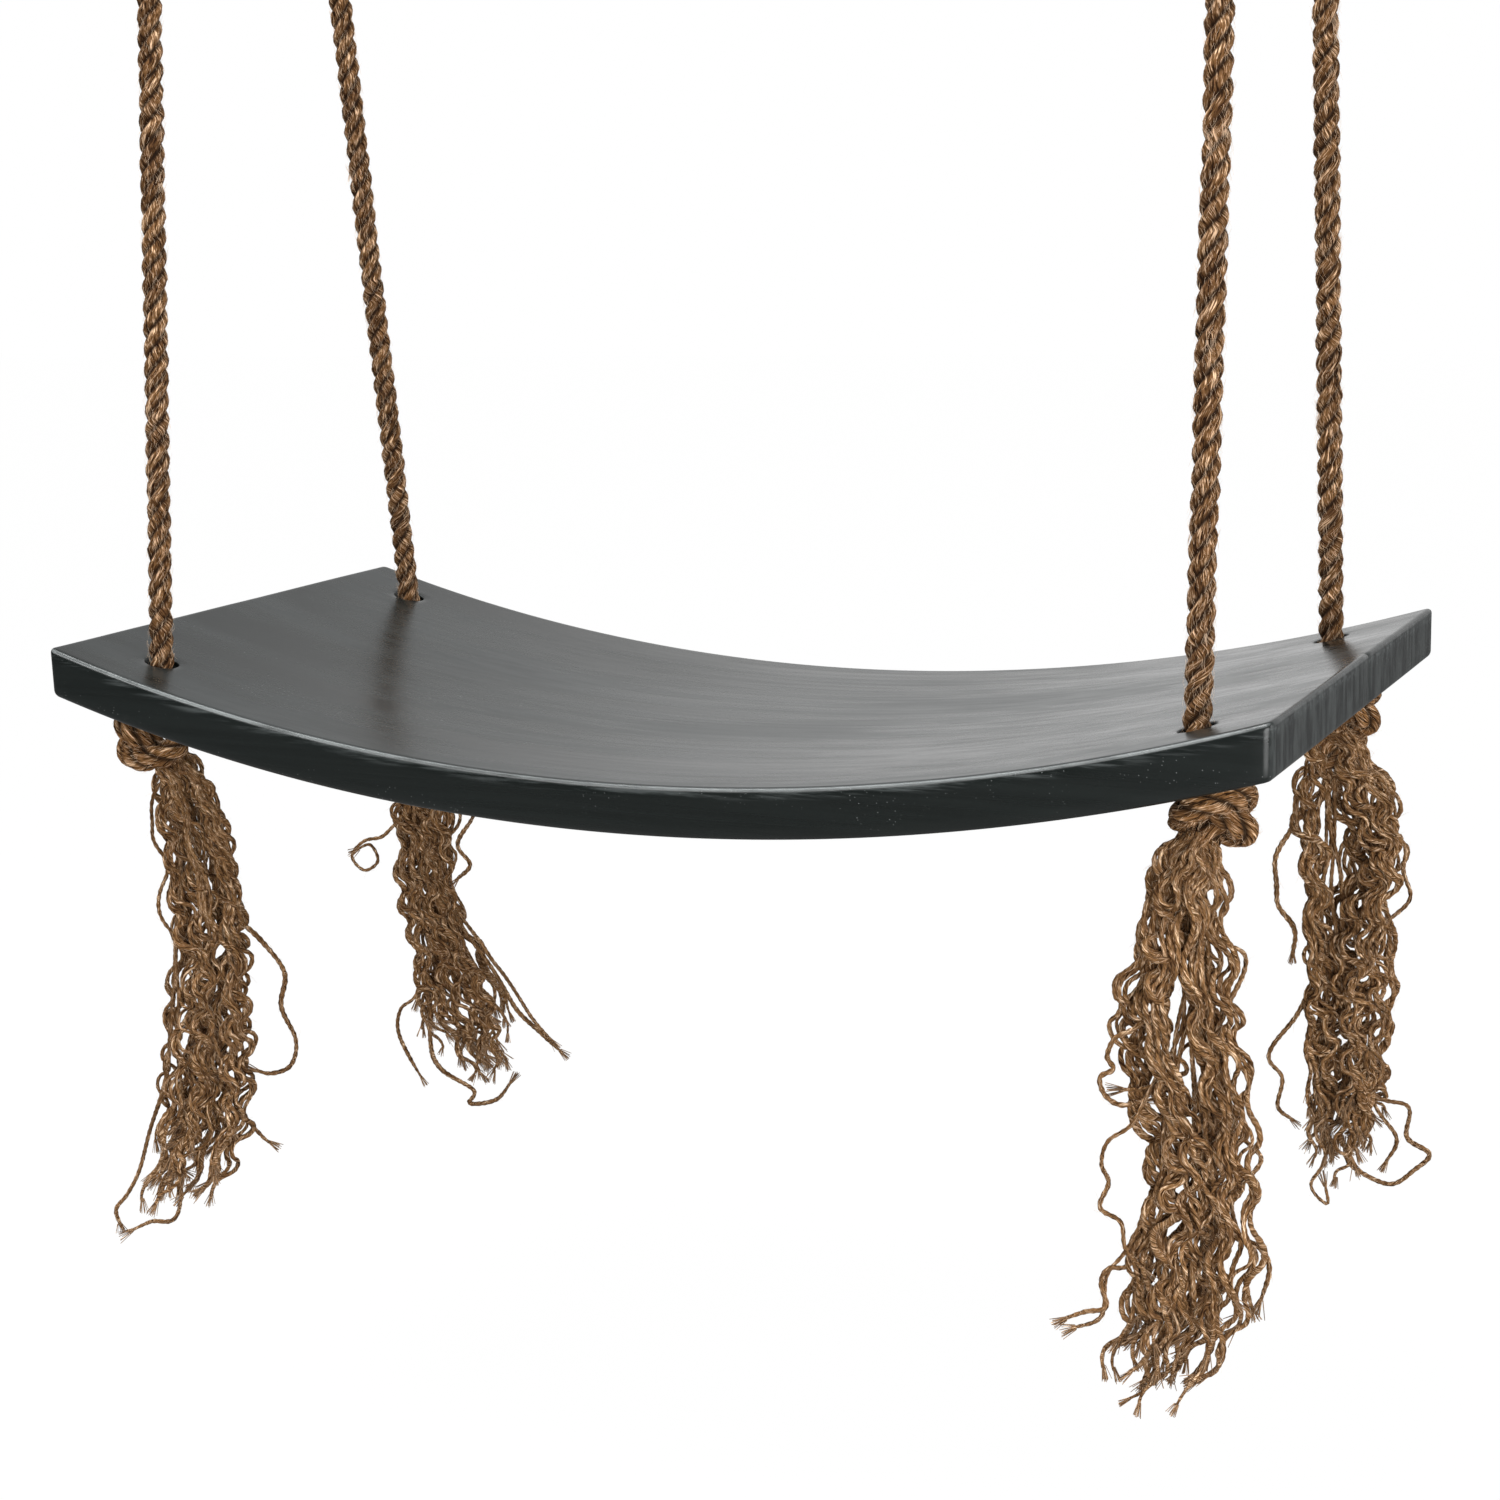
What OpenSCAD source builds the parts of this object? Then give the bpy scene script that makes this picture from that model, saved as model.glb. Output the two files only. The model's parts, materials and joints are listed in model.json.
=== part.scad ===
// Plank swing: a curved wooden seat hung on four knotted ropes with unravelled ends.
// Millimetres. +X is the sitter's left-to-right, +Y is towards the back, +Z is up.
// The origin is in the beam's underside, midway between the four eye bolts.

/* [Seat] */
// Width of the seat, end to end
seat_w = 900; // [840:10:960]
// Depth of the seat, front to back
seat_d = 430; // [410:5:460]
// Thickness of the plank, square to its curve
seat_t = 34; // [30:1:38]
// How far the ends stand above the middle of the seat
seat_sag = 68; // [50:1:80]
// Place of the glued joint between the two boards, from the middle of the depth
seam_y = 19; // [-40:1:40]
// Radius of the seat's corners, seen from above
corner_r = 6; // [3:1:10]
// Diameter of the four rope holes
hole_d = 24; // [23:0.5:26]
// From the seat's end to the middle of a rope hole
hole_inset_x = 60; // [50:1:70]
// From the seat's long edge to the middle of a rope hole
hole_inset_y = 53; // [45:1:60]

/* [Ropes] */
// Diameter of the laid rope
rope_d = 18; // [17:0.5:18.5]
// Height from a rope's hole mouth up to the eye it hangs in
rope_rise = 650; // [600:10:900]
// Half the distance between the front and the back eye bolts
eye_y = 100; // [90:1:120]
// Radius of the rope's path round its thimble
eye_r = 27; // [26:0.5:28]
// Half angle between the two legs of the spliced eye
eye_beta = 22; // [20:1:24]
// Length of the splice below the eye
splice_len = 100; // [80:5:120]
// Radius of the splice at its thick end
splice_r = 13.5; // [13:0.5:15]

/* [Eye bolts] */
// Diameter of the eye bolt's shank and its thread
shank_d = 12; // [10:1:12]
// Length of the shank above the beam's underside
shank_len = 80; // [60:5:120]
// Diameter of the eye bolt's wire
wire_d = 10; // [9:0.5:10]
// Radius of the ring, to the middle of its wire
ring_r = 20; // [20:0.5:22]
// Diameter of the washer under the beam
washer_d = 36; // [30:1:40]
// Thickness of the washer
washer_t = 3; // [2:0.5:4]
// How much wider the washer's hole is than the shank
washer_play = 1; // [0.8:0.1:1.5]
// Height of the eye bolt's shoulder
shoulder_h = 6; // [4:1:8]

/* [Knots and tassels] */
// Greatest diameter of a knot
knot_d = 56; // [50:1:60]
// Height of a knot
knot_h = 40; // [36:1:42]
// Length of the unravelled end below its knot
tassel_len = 350; // [300:5:380]
// Greatest radius of the unravelled end
tassel_r = 52; // [45:1:56]

/* [Hidden] */
$fn = 64;

left = -1;
right = 1;
front = -1;
back = 1;

// Clear gap between pieces that move on each other
gap = 0.3;
rope_r = rope_d / 2;

// Seat curve
seat_r = (seat_w * seat_w / 4 + seat_sag * seat_sag) / (2 * seat_sag);
hole_x = seat_w / 2 - hole_inset_x;
hole_y = seat_d / 2 - hole_inset_y;
hole_slope = asin(hole_x / seat_r);
hole_rise = seat_r - sqrt(seat_r * seat_r - hole_x * hole_x);
hole_t = seat_t / cos(hole_slope);

// The plain neck of the shank, where it passes through its washer
neck_d = shank_d + 0.4;

// Heights, all below the beam's underside
ring_sink = 1;
ring_z = -washer_t - shoulder_h - ring_r - wire_d / 2 + ring_sink;
eye_z = ring_z - ring_r;
mouth_z = eye_z - rope_rise;
seat_z = mouth_z - hole_rise;

// Ropes lean in towards the top
rope_span = sqrt(rope_rise * rope_rise + pow(hole_y - eye_y, 2));
rope_lean = atan((hole_y - eye_y) / rope_rise);

// Thimble, round the wire. The front eyes bear on the wire, the back eyes have slack.
thimble_wall = 2.7;
bed_r = eye_r - rope_r - gap - thimble_wall;
front_drop = bed_r - wire_d / 2 - gap;
slack = 3.4;
leg_end_y = rope_r;
leg_len = (eye_r * cos(eye_beta) - leg_end_y) / sin(eye_beta);
throat = eye_r * sin(eye_beta) + leg_len * cos(eye_beta);
thimble_leg = 30;

// Splice: a short collar over the two legs, a round part and a long taper
collar_r = 2 * rope_r + 0.6;
collar_up = 4;
collar_down = 10;
round_share = 0.4;
round_len = splice_len * round_share;
whipping_len = 25;
whipping_t = 2;

// Knot and tassel heights, below a hole's mouth
knot_gap = 1;
knot_bulge = knot_h / 2;
knot_core = knot_d / 2 - knot_bulge;
knot_bottom = hole_t + (knot_gap + knot_bulge) * cos(hole_slope) + knot_core * sin(hole_slope) + knot_bulge;
tassel_pivot = knot_bottom + rope_r + gap;

// Moves to the hanging point of one rope, and lets -Z run down along it
module at_eye(sx, sy)
    translate([sx * hole_x, sy * eye_y, eye_z])
        rotate([sy * rope_lean, 0, 0])
            children();

// Moves to the middle of the crown of one rope's eye
module at_crown(sx, sy)
    at_eye(sx, sy)
        translate([0, 0, -(sy == front ? front_drop : front_drop - slack)])
            children();

// Moves to the mouth of one rope hole
module at_mouth(sx, sy)
    translate([sx * hole_x, sy * hole_y, mouth_z])
        children();

// The teardrop path of an eye round its crown's middle: [y, z, outward direction] at each ring
function teardrop(leg, steps) = concat(
    [[eye_r * cos(eye_beta) - leg * sin(eye_beta), -eye_r * sin(eye_beta) - leg * cos(eye_beta), -eye_beta]],
    [for (i = [0:steps]) let (a = -eye_beta + i * (180 + 2 * eye_beta) / steps)
        [eye_r * cos(a), eye_r * sin(a), a]],
    [[-eye_r * cos(eye_beta) + leg * sin(eye_beta), -eye_r * sin(eye_beta) - leg * cos(eye_beta),
        180 + eye_beta]]
);

// Sweeps a section, a list of [outward, across] points, along a path of such rings
module sweep(section, path) {
    n = len(section);
    rings = len(path);
    points = [for (p = path, q = section) [q[1], p[0] + q[0] * cos(p[2]), p[1] + q[0] * sin(p[2])]];
    sides = [for (i = [0:rings - 2], j = [0:n - 1]) let (k = (j + 1) % n)
        [(i + 1) * n + j, (i + 1) * n + k, i * n + k, i * n + j]];
    polyhedron(points, concat(
        [[for (j = [0:n - 1]) j]],
        sides,
        [[for (j = [n - 1:-1:0]) (rings - 1) * n + j]]
    ));
}

module eye_bolt(sx, sy) {
    color("silver")
        translate([sx * hole_x, sy * eye_y, 0]) {
            translate([0, 0, -washer_t - shoulder_h / 2])
                cylinder(d = neck_d, h = washer_t + shoulder_h / 2);
            cylinder(d = shank_d, h = shank_len - shank_d / 2);
            translate([0, 0, shank_len - shank_d / 2])
                cylinder(d1 = shank_d, d2 = shank_d / 3, h = shank_d / 2);
            translate([0, 0, -washer_t - shoulder_h])
                cylinder(d = 2 * shank_d, h = shoulder_h);
            translate([0, 0, ring_z])
                rotate([90, 0, 0])
                    rotate_extrude()
                        translate([ring_r, 0])
                            circle(d = wire_d);
        }
}

module bolt_washers() {
    color("silver")
        for (sx = [left, right], sy = [front, back])
            translate([sx * hole_x, sy * eye_y, -washer_t])
                difference() {
                    cylinder(d = washer_d, h = washer_t);
                    translate([0, 0, -1])
                        cylinder(d = shank_d + washer_play, h = washer_t + 2);
                }
}

module thimble(sx, sy) {
    inner = rope_r + gap;
    outer = inner + thimble_wall;
    section = concat(
        [for (a = [-75:25:75]) [-outer * cos(a), outer * sin(a)]],
        [for (a = [75:-25:-75]) [-inner * cos(a), inner * sin(a)]]
    );
    color("lightgray")
        at_crown(sx, sy)
            sweep(section, teardrop(thimble_leg, 16));
}

module rope(sx, sy) {
    sides = 12;
    drop = sy == front ? front_drop : front_drop - slack;
    splice_z = -drop - throat;
    section = [for (i = [0:sides - 1]) rope_r * [cos(i * 360 / sides), -sin(i * 360 / sides)]];
    end_arc = [for (a = [-90:15:0]) [rope_r * cos(a), rope_r * sin(a) - rope_span]];
    color("peru") {
        at_crown(sx, sy)
            sweep(section, teardrop(leg_len, 16));
        at_eye(sx, sy)
            rotate_extrude()
                polygon(concat(end_arc, [
                    [rope_r, splice_z - splice_len], [splice_r, splice_z - round_len],
                    [splice_r, splice_z - collar_down], [collar_r, splice_z + collar_up],
                    [0, splice_z + collar_up]
                ]));
    }
}

module whipping(sx, sy) {
    color("tan")
        at_crown(sx, sy)
            translate([0, 0, -throat - round_len])
                difference() {
                    cylinder(r = splice_r + gap + whipping_t, h = whipping_len);
                    translate([0, 0, -1])
                        cylinder(r = splice_r + gap, h = whipping_len + 2);
                }
}

// The seat's outline from above, with rounded corners
module seat_plan() {
    square([seat_w - 2 * corner_r, seat_d], center = true);
    square([seat_w, seat_d - 2 * corner_r], center = true);
    for (sx = [left, right], sy = [front, back])
        translate([sx * (seat_w / 2 - corner_r), sy * (seat_d / 2 - corner_r)])
            circle(r = corner_r);
}

// One board of the seat, between two places across the depth
module seat_board(y0, y1, sy) {
    color([0.13, 0.15, 0.16])
        difference() {
            intersection() {
                translate([0, 0, seat_z - 2 * seat_t])
                    linear_extrude(4 * seat_t + seat_sag)
                        intersection() {
                            seat_plan();
                            translate([-seat_w, y0])
                                square([2 * seat_w, y1 - y0]);
                        }
                translate([0, seat_d, seat_z + seat_r])
                    rotate([90, 0, 0])
                        difference() {
                            cylinder(r = seat_r + seat_t, h = 2 * seat_d, $fn = 360);
                            translate([0, 0, -1])
                                cylinder(r = seat_r, h = 2 * seat_d + 2, $fn = 360);
                        }
            }
            for (sx = [left, right])
                at_mouth(sx, sy)
                    translate([0, 0, -2 * seat_t])
                        cylinder(d = hole_d, h = 4 * seat_t);
        }
}

module knot(sx, sy) {
    color("peru")
        at_mouth(sx, sy) {
            translate([0, 0, -knot_bottom])
                cylinder(r = rope_r, h = knot_bottom - rope_r - gap);
            translate([0, 0, -hole_t])
                rotate([0, -sx * hole_slope, 0])
                    translate([0, 0, -knot_gap - knot_bulge])
                        rotate_extrude()
                            intersection() {
                                translate([knot_core, 0])
                                    circle(r = knot_bulge);
                                translate([0, -knot_bulge])
                                    square([knot_d, knot_h]);
                            }
            translate([0, 0, -hole_t])
                rotate([0, -sx * hole_slope, 0])
                    translate([0, 0, -knot_gap - knot_h])
                        cylinder(r = knot_core, h = knot_h);
        }
}

module tassel(sx, sy) {
    color("sandybrown")
        at_mouth(sx, sy)
            translate([0, 0, -tassel_pivot]) {
                sphere(r = rope_r);
                rotate_extrude()
                    polygon([
                        [0, 0], [rope_r, 0], [0.42 * tassel_r, -0.1 * tassel_len],
                        [0.72 * tassel_r, -0.26 * tassel_len], [0.84 * tassel_r, -0.55 * tassel_len],
                        [0.94 * tassel_r, -0.8 * tassel_len], [tassel_r, -0.93 * tassel_len],
                        [0.85 * tassel_r, -tassel_len], [0, -tassel_len]
                    ]);
            }
}

eye_bolt(left, front);  // eye_bolt_front_left
eye_bolt(right, front);  // eye_bolt_front_right
eye_bolt(left, back);  // eye_bolt_back_left
eye_bolt(right, back);  // eye_bolt_back_right
bolt_washers();
thimble(left, front);  // thimble_front_left
thimble(right, front);  // thimble_front_right
thimble(left, back);  // thimble_back_left
thimble(right, back);  // thimble_back_right
rope(left, front);  // rope_front_left
rope(right, front);  // rope_front_right
rope(left, back);  // rope_back_left
rope(right, back);  // rope_back_right
whipping(left, front);  // whipping_front_left
whipping(right, front);  // whipping_front_right
whipping(left, back);  // whipping_back_left
whipping(right, back);  // whipping_back_right
seat_board(-seat_d / 2, seam_y, front);  // seat_front_board
seat_board(seam_y, seat_d / 2, back);  // seat_back_board
knot(left, front);  // knot_front_left
knot(right, front);  // knot_front_right
knot(left, back);  // knot_back_left
knot(right, back);  // knot_back_right
tassel(left, front);  // tassel_front_left
tassel(right, front);  // tassel_front_right
tassel(left, back);  // tassel_back_left
tassel(right, back);  // tassel_back_right
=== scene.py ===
import json
import math

import bmesh
import bpy
import numpy as np
from mathutils import Matrix, Vector, noise


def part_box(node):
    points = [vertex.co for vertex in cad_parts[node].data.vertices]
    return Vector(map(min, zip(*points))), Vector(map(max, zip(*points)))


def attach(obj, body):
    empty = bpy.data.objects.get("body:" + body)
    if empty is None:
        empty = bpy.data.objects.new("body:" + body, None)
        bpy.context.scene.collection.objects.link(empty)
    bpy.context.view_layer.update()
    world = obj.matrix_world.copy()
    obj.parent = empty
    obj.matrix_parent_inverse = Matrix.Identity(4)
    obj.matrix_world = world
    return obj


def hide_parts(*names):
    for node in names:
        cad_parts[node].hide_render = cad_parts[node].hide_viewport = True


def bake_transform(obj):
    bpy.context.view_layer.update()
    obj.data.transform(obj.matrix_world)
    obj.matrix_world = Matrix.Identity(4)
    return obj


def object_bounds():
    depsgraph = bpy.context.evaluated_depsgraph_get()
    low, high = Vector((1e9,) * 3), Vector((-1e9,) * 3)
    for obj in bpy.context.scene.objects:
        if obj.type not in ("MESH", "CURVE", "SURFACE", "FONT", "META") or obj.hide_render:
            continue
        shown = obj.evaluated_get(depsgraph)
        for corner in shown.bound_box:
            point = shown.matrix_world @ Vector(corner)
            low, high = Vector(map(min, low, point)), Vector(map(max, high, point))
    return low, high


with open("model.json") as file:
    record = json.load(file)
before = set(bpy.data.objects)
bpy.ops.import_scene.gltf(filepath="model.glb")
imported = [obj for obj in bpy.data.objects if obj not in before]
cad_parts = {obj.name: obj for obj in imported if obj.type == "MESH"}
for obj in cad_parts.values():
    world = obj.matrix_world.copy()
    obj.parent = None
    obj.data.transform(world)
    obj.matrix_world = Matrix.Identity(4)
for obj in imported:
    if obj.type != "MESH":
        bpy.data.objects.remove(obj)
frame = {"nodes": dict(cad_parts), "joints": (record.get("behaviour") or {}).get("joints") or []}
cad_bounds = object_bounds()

# Plank swing. Metres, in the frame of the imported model: +X is the sitter's left-to-right,
# +Y is towards the back, +Z is up, and the origin is in the underside of the beam.

CORNERS = {
    "front_left": (-1, -1),
    "front_right": (1, -1),
    "back_left": (-1, 1),
    "back_right": (1, 1),
}
X_AXIS = np.array([1.0, 0.0, 0.0])
Z_AXIS = np.array([0.0, 0.0, 1.0])
TURN = 2 * math.pi

# ---------------------------------------------------------------- places taken from the frame

PIVOTS = {j["name"]: Vector(j["pos_m"]) for j in frame["joints"]}
HANG = PIVOTS["swing"]
MOUTH = PIVOTS["seat_tilt"]
FRONT_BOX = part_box("seat_front_board")
BACK_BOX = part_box("seat_back_board")

# Seat
SEAT_THICKNESS = 0.034
SEAT_HALF_WIDTH = FRONT_BOX[1].x
SEAT_FRONT = FRONT_BOX[0].y
SEAM_Y = FRONT_BOX[1].y
SEAT_BACK = BACK_BOX[1].y
SEAT_SAG = FRONT_BOX[1].z - FRONT_BOX[0].z - SEAT_THICKNESS
SEAT_RADIUS = (SEAT_HALF_WIDTH**2 + SEAT_SAG**2) / (2 * SEAT_SAG)
SEAT_TOP = FRONT_BOX[0].z + SEAT_THICKNESS
CORNER_RADIUS = 0.006
EDGE_ROUND = 0.004
HOLE_RADIUS = 0.012
HOLE_ROUND = 0.0015
SEAM_GROOVE = 0.0004

# Ropes
ROPE_RADIUS = 0.009
ROPE_LAY = 0.0435
EYE_RADIUS = 0.027
EYE_HALF_ANGLE = math.radians(22)
FRONT_DROP = 0.0097
BACK_DROP = 0.0063
FIBRE_BUMP = 0.0006
ROPE_TUFTS = 7
BARE_TOP = 90
BARE_END = 44
# loose hairs: how many, how far they reach and how thick they are
HAIRS = {
    "rope": (2400, 0.0065, 0.00011),
    "tuft": (24, 0.009, 0.00012),
    "knot": (900, 0.0065, 0.00011),
    "splice": (260, 0.007, 0.00013),
    "yarns": (3200, 0.0085, 0.00009),
}
SPLICE_LENGTH = 0.100
SPLICE_RADIUS = 0.0135
WHIPPING_DOWN = 0.040
WHIPPING_LENGTH = 0.025
TWINE_RADIUS = 0.00105
THIMBLE_PLAY = 0.0003
THIMBLE_WALL = 0.0027
THIMBLE_LEG = 0.030
CHANNEL_HALF_ANGLE = 72
EYE_LEG = (EYE_RADIUS * math.cos(EYE_HALF_ANGLE) - ROPE_RADIUS) / math.sin(EYE_HALF_ANGLE)
THROAT = EYE_RADIUS * math.sin(EYE_HALF_ANGLE) + EYE_LEG * math.cos(EYE_HALF_ANGLE)
HOLE_SLOPE = math.asin(abs(MOUTH.x) / SEAT_RADIUS)
HOLE_DEPTH = SEAT_THICKNESS / math.cos(HOLE_SLOPE)

# Knots
KNOT_ROPE_RADIUS = 0.0093
KNOT_CONTACT = 0.0150
KNOT_LENGTH = 0.130
KNOT_SQUASH = 0.60
KNOT_SPREAD = 1.36
KNOT_STEPS = 320
KNOT_TAIL = 0.0955
KNOT_TURNS = {"front_left": 215, "front_right": 22, "back_left": 120, "back_right": 40}

# Eye bolts
SHANK_RADIUS = 0.006
SHANK_LENGTH = 0.080
THREAD_PITCH = 0.00175
WIRE_RADIUS = 0.005
RING_RADIUS = 0.020
SHOULDER_TOP = -0.003
SHOULDER_HEIGHT = 0.006
THREAD_DEPTH = 0.0009

# Camera, from the middle of the seat's top
CAMERA_PLACE = Vector((0.83455, -1.64328, 0.37203))
CAMERA_YAW = math.radians(26.711)
CAMERA_PITCH = math.radians(12.095)
CAMERA_ROLL = math.radians(-1.890)
FIELD_OF_VIEW = math.radians(32.23)

FLOOR_DROP = 0.16
FLOOR_SIZE = 24.0
FLOOR_GLOW = 0.94


def corner_point(point, corner):
    """The matching point at another corner of the swing."""
    sx, sy = CORNERS[corner]
    return np.array([sx * abs(point.x), sy * abs(point.y), point.z])


def crown_drop(corner):
    """How far the middle of an eye's crown lies below the wire it hangs on."""
    return FRONT_DROP if CORNERS[corner][1] < 0 else BACK_DROP


def along_rope(corner):
    """The hanging point, the direction down the rope and the direction across it, towards the back."""
    hang = corner_point(HANG, corner)
    down = corner_point(MOUTH, corner) - hang
    down /= np.linalg.norm(down)
    return hang, down, np.cross(down, X_AXIS)


def add_object(name, data):
    made = bpy.data.objects.new(name, data)
    bpy.context.scene.collection.objects.link(made)
    return made


# ---------------------------------------------------------------- camera


def make_camera():
    seat = Vector((0, 0, SEAT_TOP))
    right = Vector((math.cos(CAMERA_YAW), math.sin(CAMERA_YAW), 0))
    ahead = Vector(
        (
            -math.sin(CAMERA_YAW) * math.cos(CAMERA_PITCH),
            math.cos(CAMERA_YAW) * math.cos(CAMERA_PITCH),
            -math.sin(CAMERA_PITCH),
        )
    )
    up = right.cross(ahead)
    tilted = math.cos(CAMERA_ROLL) * right + math.sin(CAMERA_ROLL) * up
    upright = -math.sin(CAMERA_ROLL) * right + math.cos(CAMERA_ROLL) * up
    data = bpy.data.cameras.new("camera")
    data.sensor_fit = "HORIZONTAL"
    data.angle = FIELD_OF_VIEW
    camera = add_object("camera", data)
    turned = Matrix((tilted, upright, -ahead)).transposed().to_4x4()
    camera.matrix_world = Matrix.Translation(seat + CAMERA_PLACE) @ turned
    bpy.context.scene.camera = camera
    return np.array(right)


SIDEWAYS = make_camera()
INWARD = np.cross(Z_AXIS, SIDEWAYS)

# ---------------------------------------------------------------- mesh tools


def smooth_line(points, spacing):
    """A Catmull-Rom curve through given points, resampled at an even spacing."""
    p = np.array(points, float)
    p = np.vstack([2 * p[0] - p[1], p, 2 * p[-1] - p[-2]])
    t = np.linspace(0, 1, 20, endpoint=False)[:, None]
    pieces = []
    for a, b, c, d in zip(p[:-3], p[1:-2], p[2:-1], p[3:]):
        pieces.append(
            0.5 * (2 * b + (c - a) * t + (2 * a - 5 * b + 4 * c - d) * t**2 + (3 * b - a - 3 * c + d) * t**3)
        )
    return resample(np.vstack(pieces + [p[-2:-1]]), spacing)


def resample(line, spacing):
    step = np.linalg.norm(np.diff(line, axis=0), axis=1)
    at = np.concatenate([[0], np.cumsum(step)])
    count = max(2, round(at[-1] / spacing) + 1)
    wanted = np.linspace(0, at[-1], count)
    return np.column_stack([np.interp(wanted, at, line[:, k]) for k in range(3)])


def unit(v):
    return v / np.maximum(np.linalg.norm(v, axis=-1, keepdims=True), 1e-12)


def transport(paths):
    """Steady normals and binormals along many paths at once, shaped (paths, points, 3)."""
    tangent = unit(np.gradient(paths, axis=1))
    helper = np.where(np.abs(tangent[:, 0, 2:3]) > 0.9, X_AXIS, Z_AXIS)
    n = unit(np.cross(tangent[:, 0], helper))
    normal = np.empty_like(tangent)
    for i in range(tangent.shape[1]):
        t = tangent[:, i]
        n = unit(n - (n * t).sum(-1, keepdims=True) * t)
        normal[:, i] = n
    return tangent, normal, np.cross(tangent, normal)


def arc_lengths(paths):
    step = np.linalg.norm(np.diff(paths, axis=1), axis=2)
    return np.concatenate([np.zeros((len(paths), 1)), np.cumsum(step, axis=1)], axis=1)


class Builder:
    """Gathers closed tubes and lathed shapes into one mesh, with where each point lies on its fibre."""

    def __init__(self):
        self.points, self.faces, self.fibre, self.crease = [], [], [], []
        self.count = 0

    def add(self, points, faces, fibre=None, crease=None):
        points = np.asarray(points, float).reshape(-1, 3)
        self.points.append(points)
        self.faces += [[self.count + i for i in f] for f in faces]
        self.fibre.append(np.zeros((len(points), 3)) if fibre is None else np.reshape(fibre, (-1, 3)))
        self.crease.append(np.zeros(len(points)) if crease is None else np.ravel(crease))
        self.count += len(points)

    def grid(self, rings, closed=False, fibre=None, crease=None):
        """rings is (rings, columns, 3); the columns run round, and each end gets a cap unless it's closed."""
        n, m = rings.shape[:2]
        i, j = np.meshgrid(np.arange(n if closed else n - 1), np.arange(m), indexing="ij")
        right, above = (j + 1) % m, (i + 1) % n
        quads = np.stack([i * m + j, i * m + right, above * m + right, above * m + j], -1)
        quads = quads.reshape(-1, 4).tolist()
        if not closed:
            quads += [list(range(m - 1, -1, -1)), list(range((n - 1) * m, n * m))]
        self.add(rings, quads, fibre, crease)

    def tubes(self, paths, radii, sides, ply=0.0, ply_turn=0.012, seed_row=0.0, pale=0.0):
        """Round tubes along many paths at once. ply makes two plies twisted together."""
        paths = np.asarray(paths, float)
        _, normal, across = transport(paths)
        s = arc_lengths(paths)
        a = np.arange(sides) * TURN / sides
        swell = 1 + ply * np.cos(2 * (a[None, None] - TURN * s[..., None] / ply_turn))
        r = np.asarray(radii)[..., None] * swell
        ring = paths[:, :, None] + r[..., None] * (
            np.cos(a)[None, None, :, None] * normal[:, :, None]
            + np.sin(a)[None, None, :, None] * across[:, :, None]
        )
        turned = a[None, None] + 0.5 * TURN * s[..., None] / ply_turn
        for k in range(len(paths)):
            fibre = np.stack(
                [
                    np.repeat(s[k][:, None], sides, 1),
                    turned[k] * np.asarray(radii)[k][:, None],
                    np.full((len(s[k]), sides), 0.013 * (k + 1) + seed_row),
                ],
                -1,
            )
            # the crease value paints shade into the groove between the plies; a negative value makes the tube
            # paler instead
            hollow = 0.28 - 0.28 * (swell[k] - 1) / ply if ply else np.full_like(swell[k], -pale)
            self.grid(ring[k], fibre=fibre, crease=hollow)

    def piece(self, name, material, smooth_angle=40):
        """The finished object, with its fibre and crease attributes."""
        mesh = bpy.data.meshes.new(name)
        points = np.vstack(self.points)
        mesh.from_pydata(points.tolist(), [], self.faces)
        fibre = mesh.attributes.new("fibre", "FLOAT_VECTOR", "POINT")
        fibre.data.foreach_set("vector", np.vstack(self.fibre).astype(np.float32).ravel())
        crease = mesh.attributes.new("crease", "FLOAT", "POINT")
        crease.data.foreach_set("value", np.concatenate(self.crease).astype(np.float32))
        mesh.validate()
        mesh.shade_smooth()
        if smooth_angle:
            mesh.set_sharp_from_angle(angle=math.radians(smooth_angle))
        mesh.materials.append(material)
        return add_object(name, mesh)


def rough_surface(shape):
    """Small bumps of fibre, a few rings long and one or two columns wide."""
    rng = np.random.default_rng(shape[0])
    bumps = rng.normal(0, 1, shape)
    for axis, times in ((0, 2), (1, 1)):
        for _ in range(times):
            bumps = (np.roll(bumps, 1, axis) + bumps + np.roll(bumps, -1, axis)) / 3
    return FIBRE_BUMP * bumps


def laid_rings(path, radius, lay, start_turn=0.0, columns=60):
    """Rings of a three-strand right-laid rope along a path, with its fibre and crease values."""
    strands, yarns, yarn_turns = 3, 7, 1.7
    radius = np.broadcast_to(radius, (len(path),))[:, None]
    _, normal, across = (v[0] for v in transport(path[None]))
    s = arc_lengths(path[None])[0][:, None]
    share = np.arange(columns)[None] / columns * strands
    strand = np.floor(share)
    delta = (share - strand - 0.5) * TURN / strands
    middle, strand_radius = 0.455 * radius, 0.545 * radius
    reach = middle * np.cos(delta) + np.sqrt(strand_radius**2 - (middle * np.sin(delta)) ** 2)
    own = np.arctan2(reach * np.sin(delta), reach * np.cos(delta) - middle)
    yarn = own + yarn_turns * TURN * s / lay
    lobe = np.abs(np.cos(0.5 * yarns * yarn + strand)) ** 0.7
    # crease marks the grooves between strands and between yarns; the material darkens the colour there as
    # painted shade
    crease = np.clip((radius - reach) / (0.34 * radius), 0, 1)
    reach = reach * (1 + 0.045 * (lobe - 0.7)) + rough_surface(reach.shape)
    turn = np.arange(columns)[None] * TURN / columns + TURN * s / lay + start_turn
    rings = path[:, None] + reach[..., None] * (
        np.cos(turn)[..., None] * normal[:, None] + np.sin(turn)[..., None] * across[:, None]
    )
    fibre = np.stack(
        [s + 0 * yarn, yarn * strand_radius, 0.017 * (strand + 1) + 0 * yarn + start_turn],
        -1,
    )
    return rings, fibre, np.maximum(crease, 0.35 * (1 - lobe))


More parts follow.
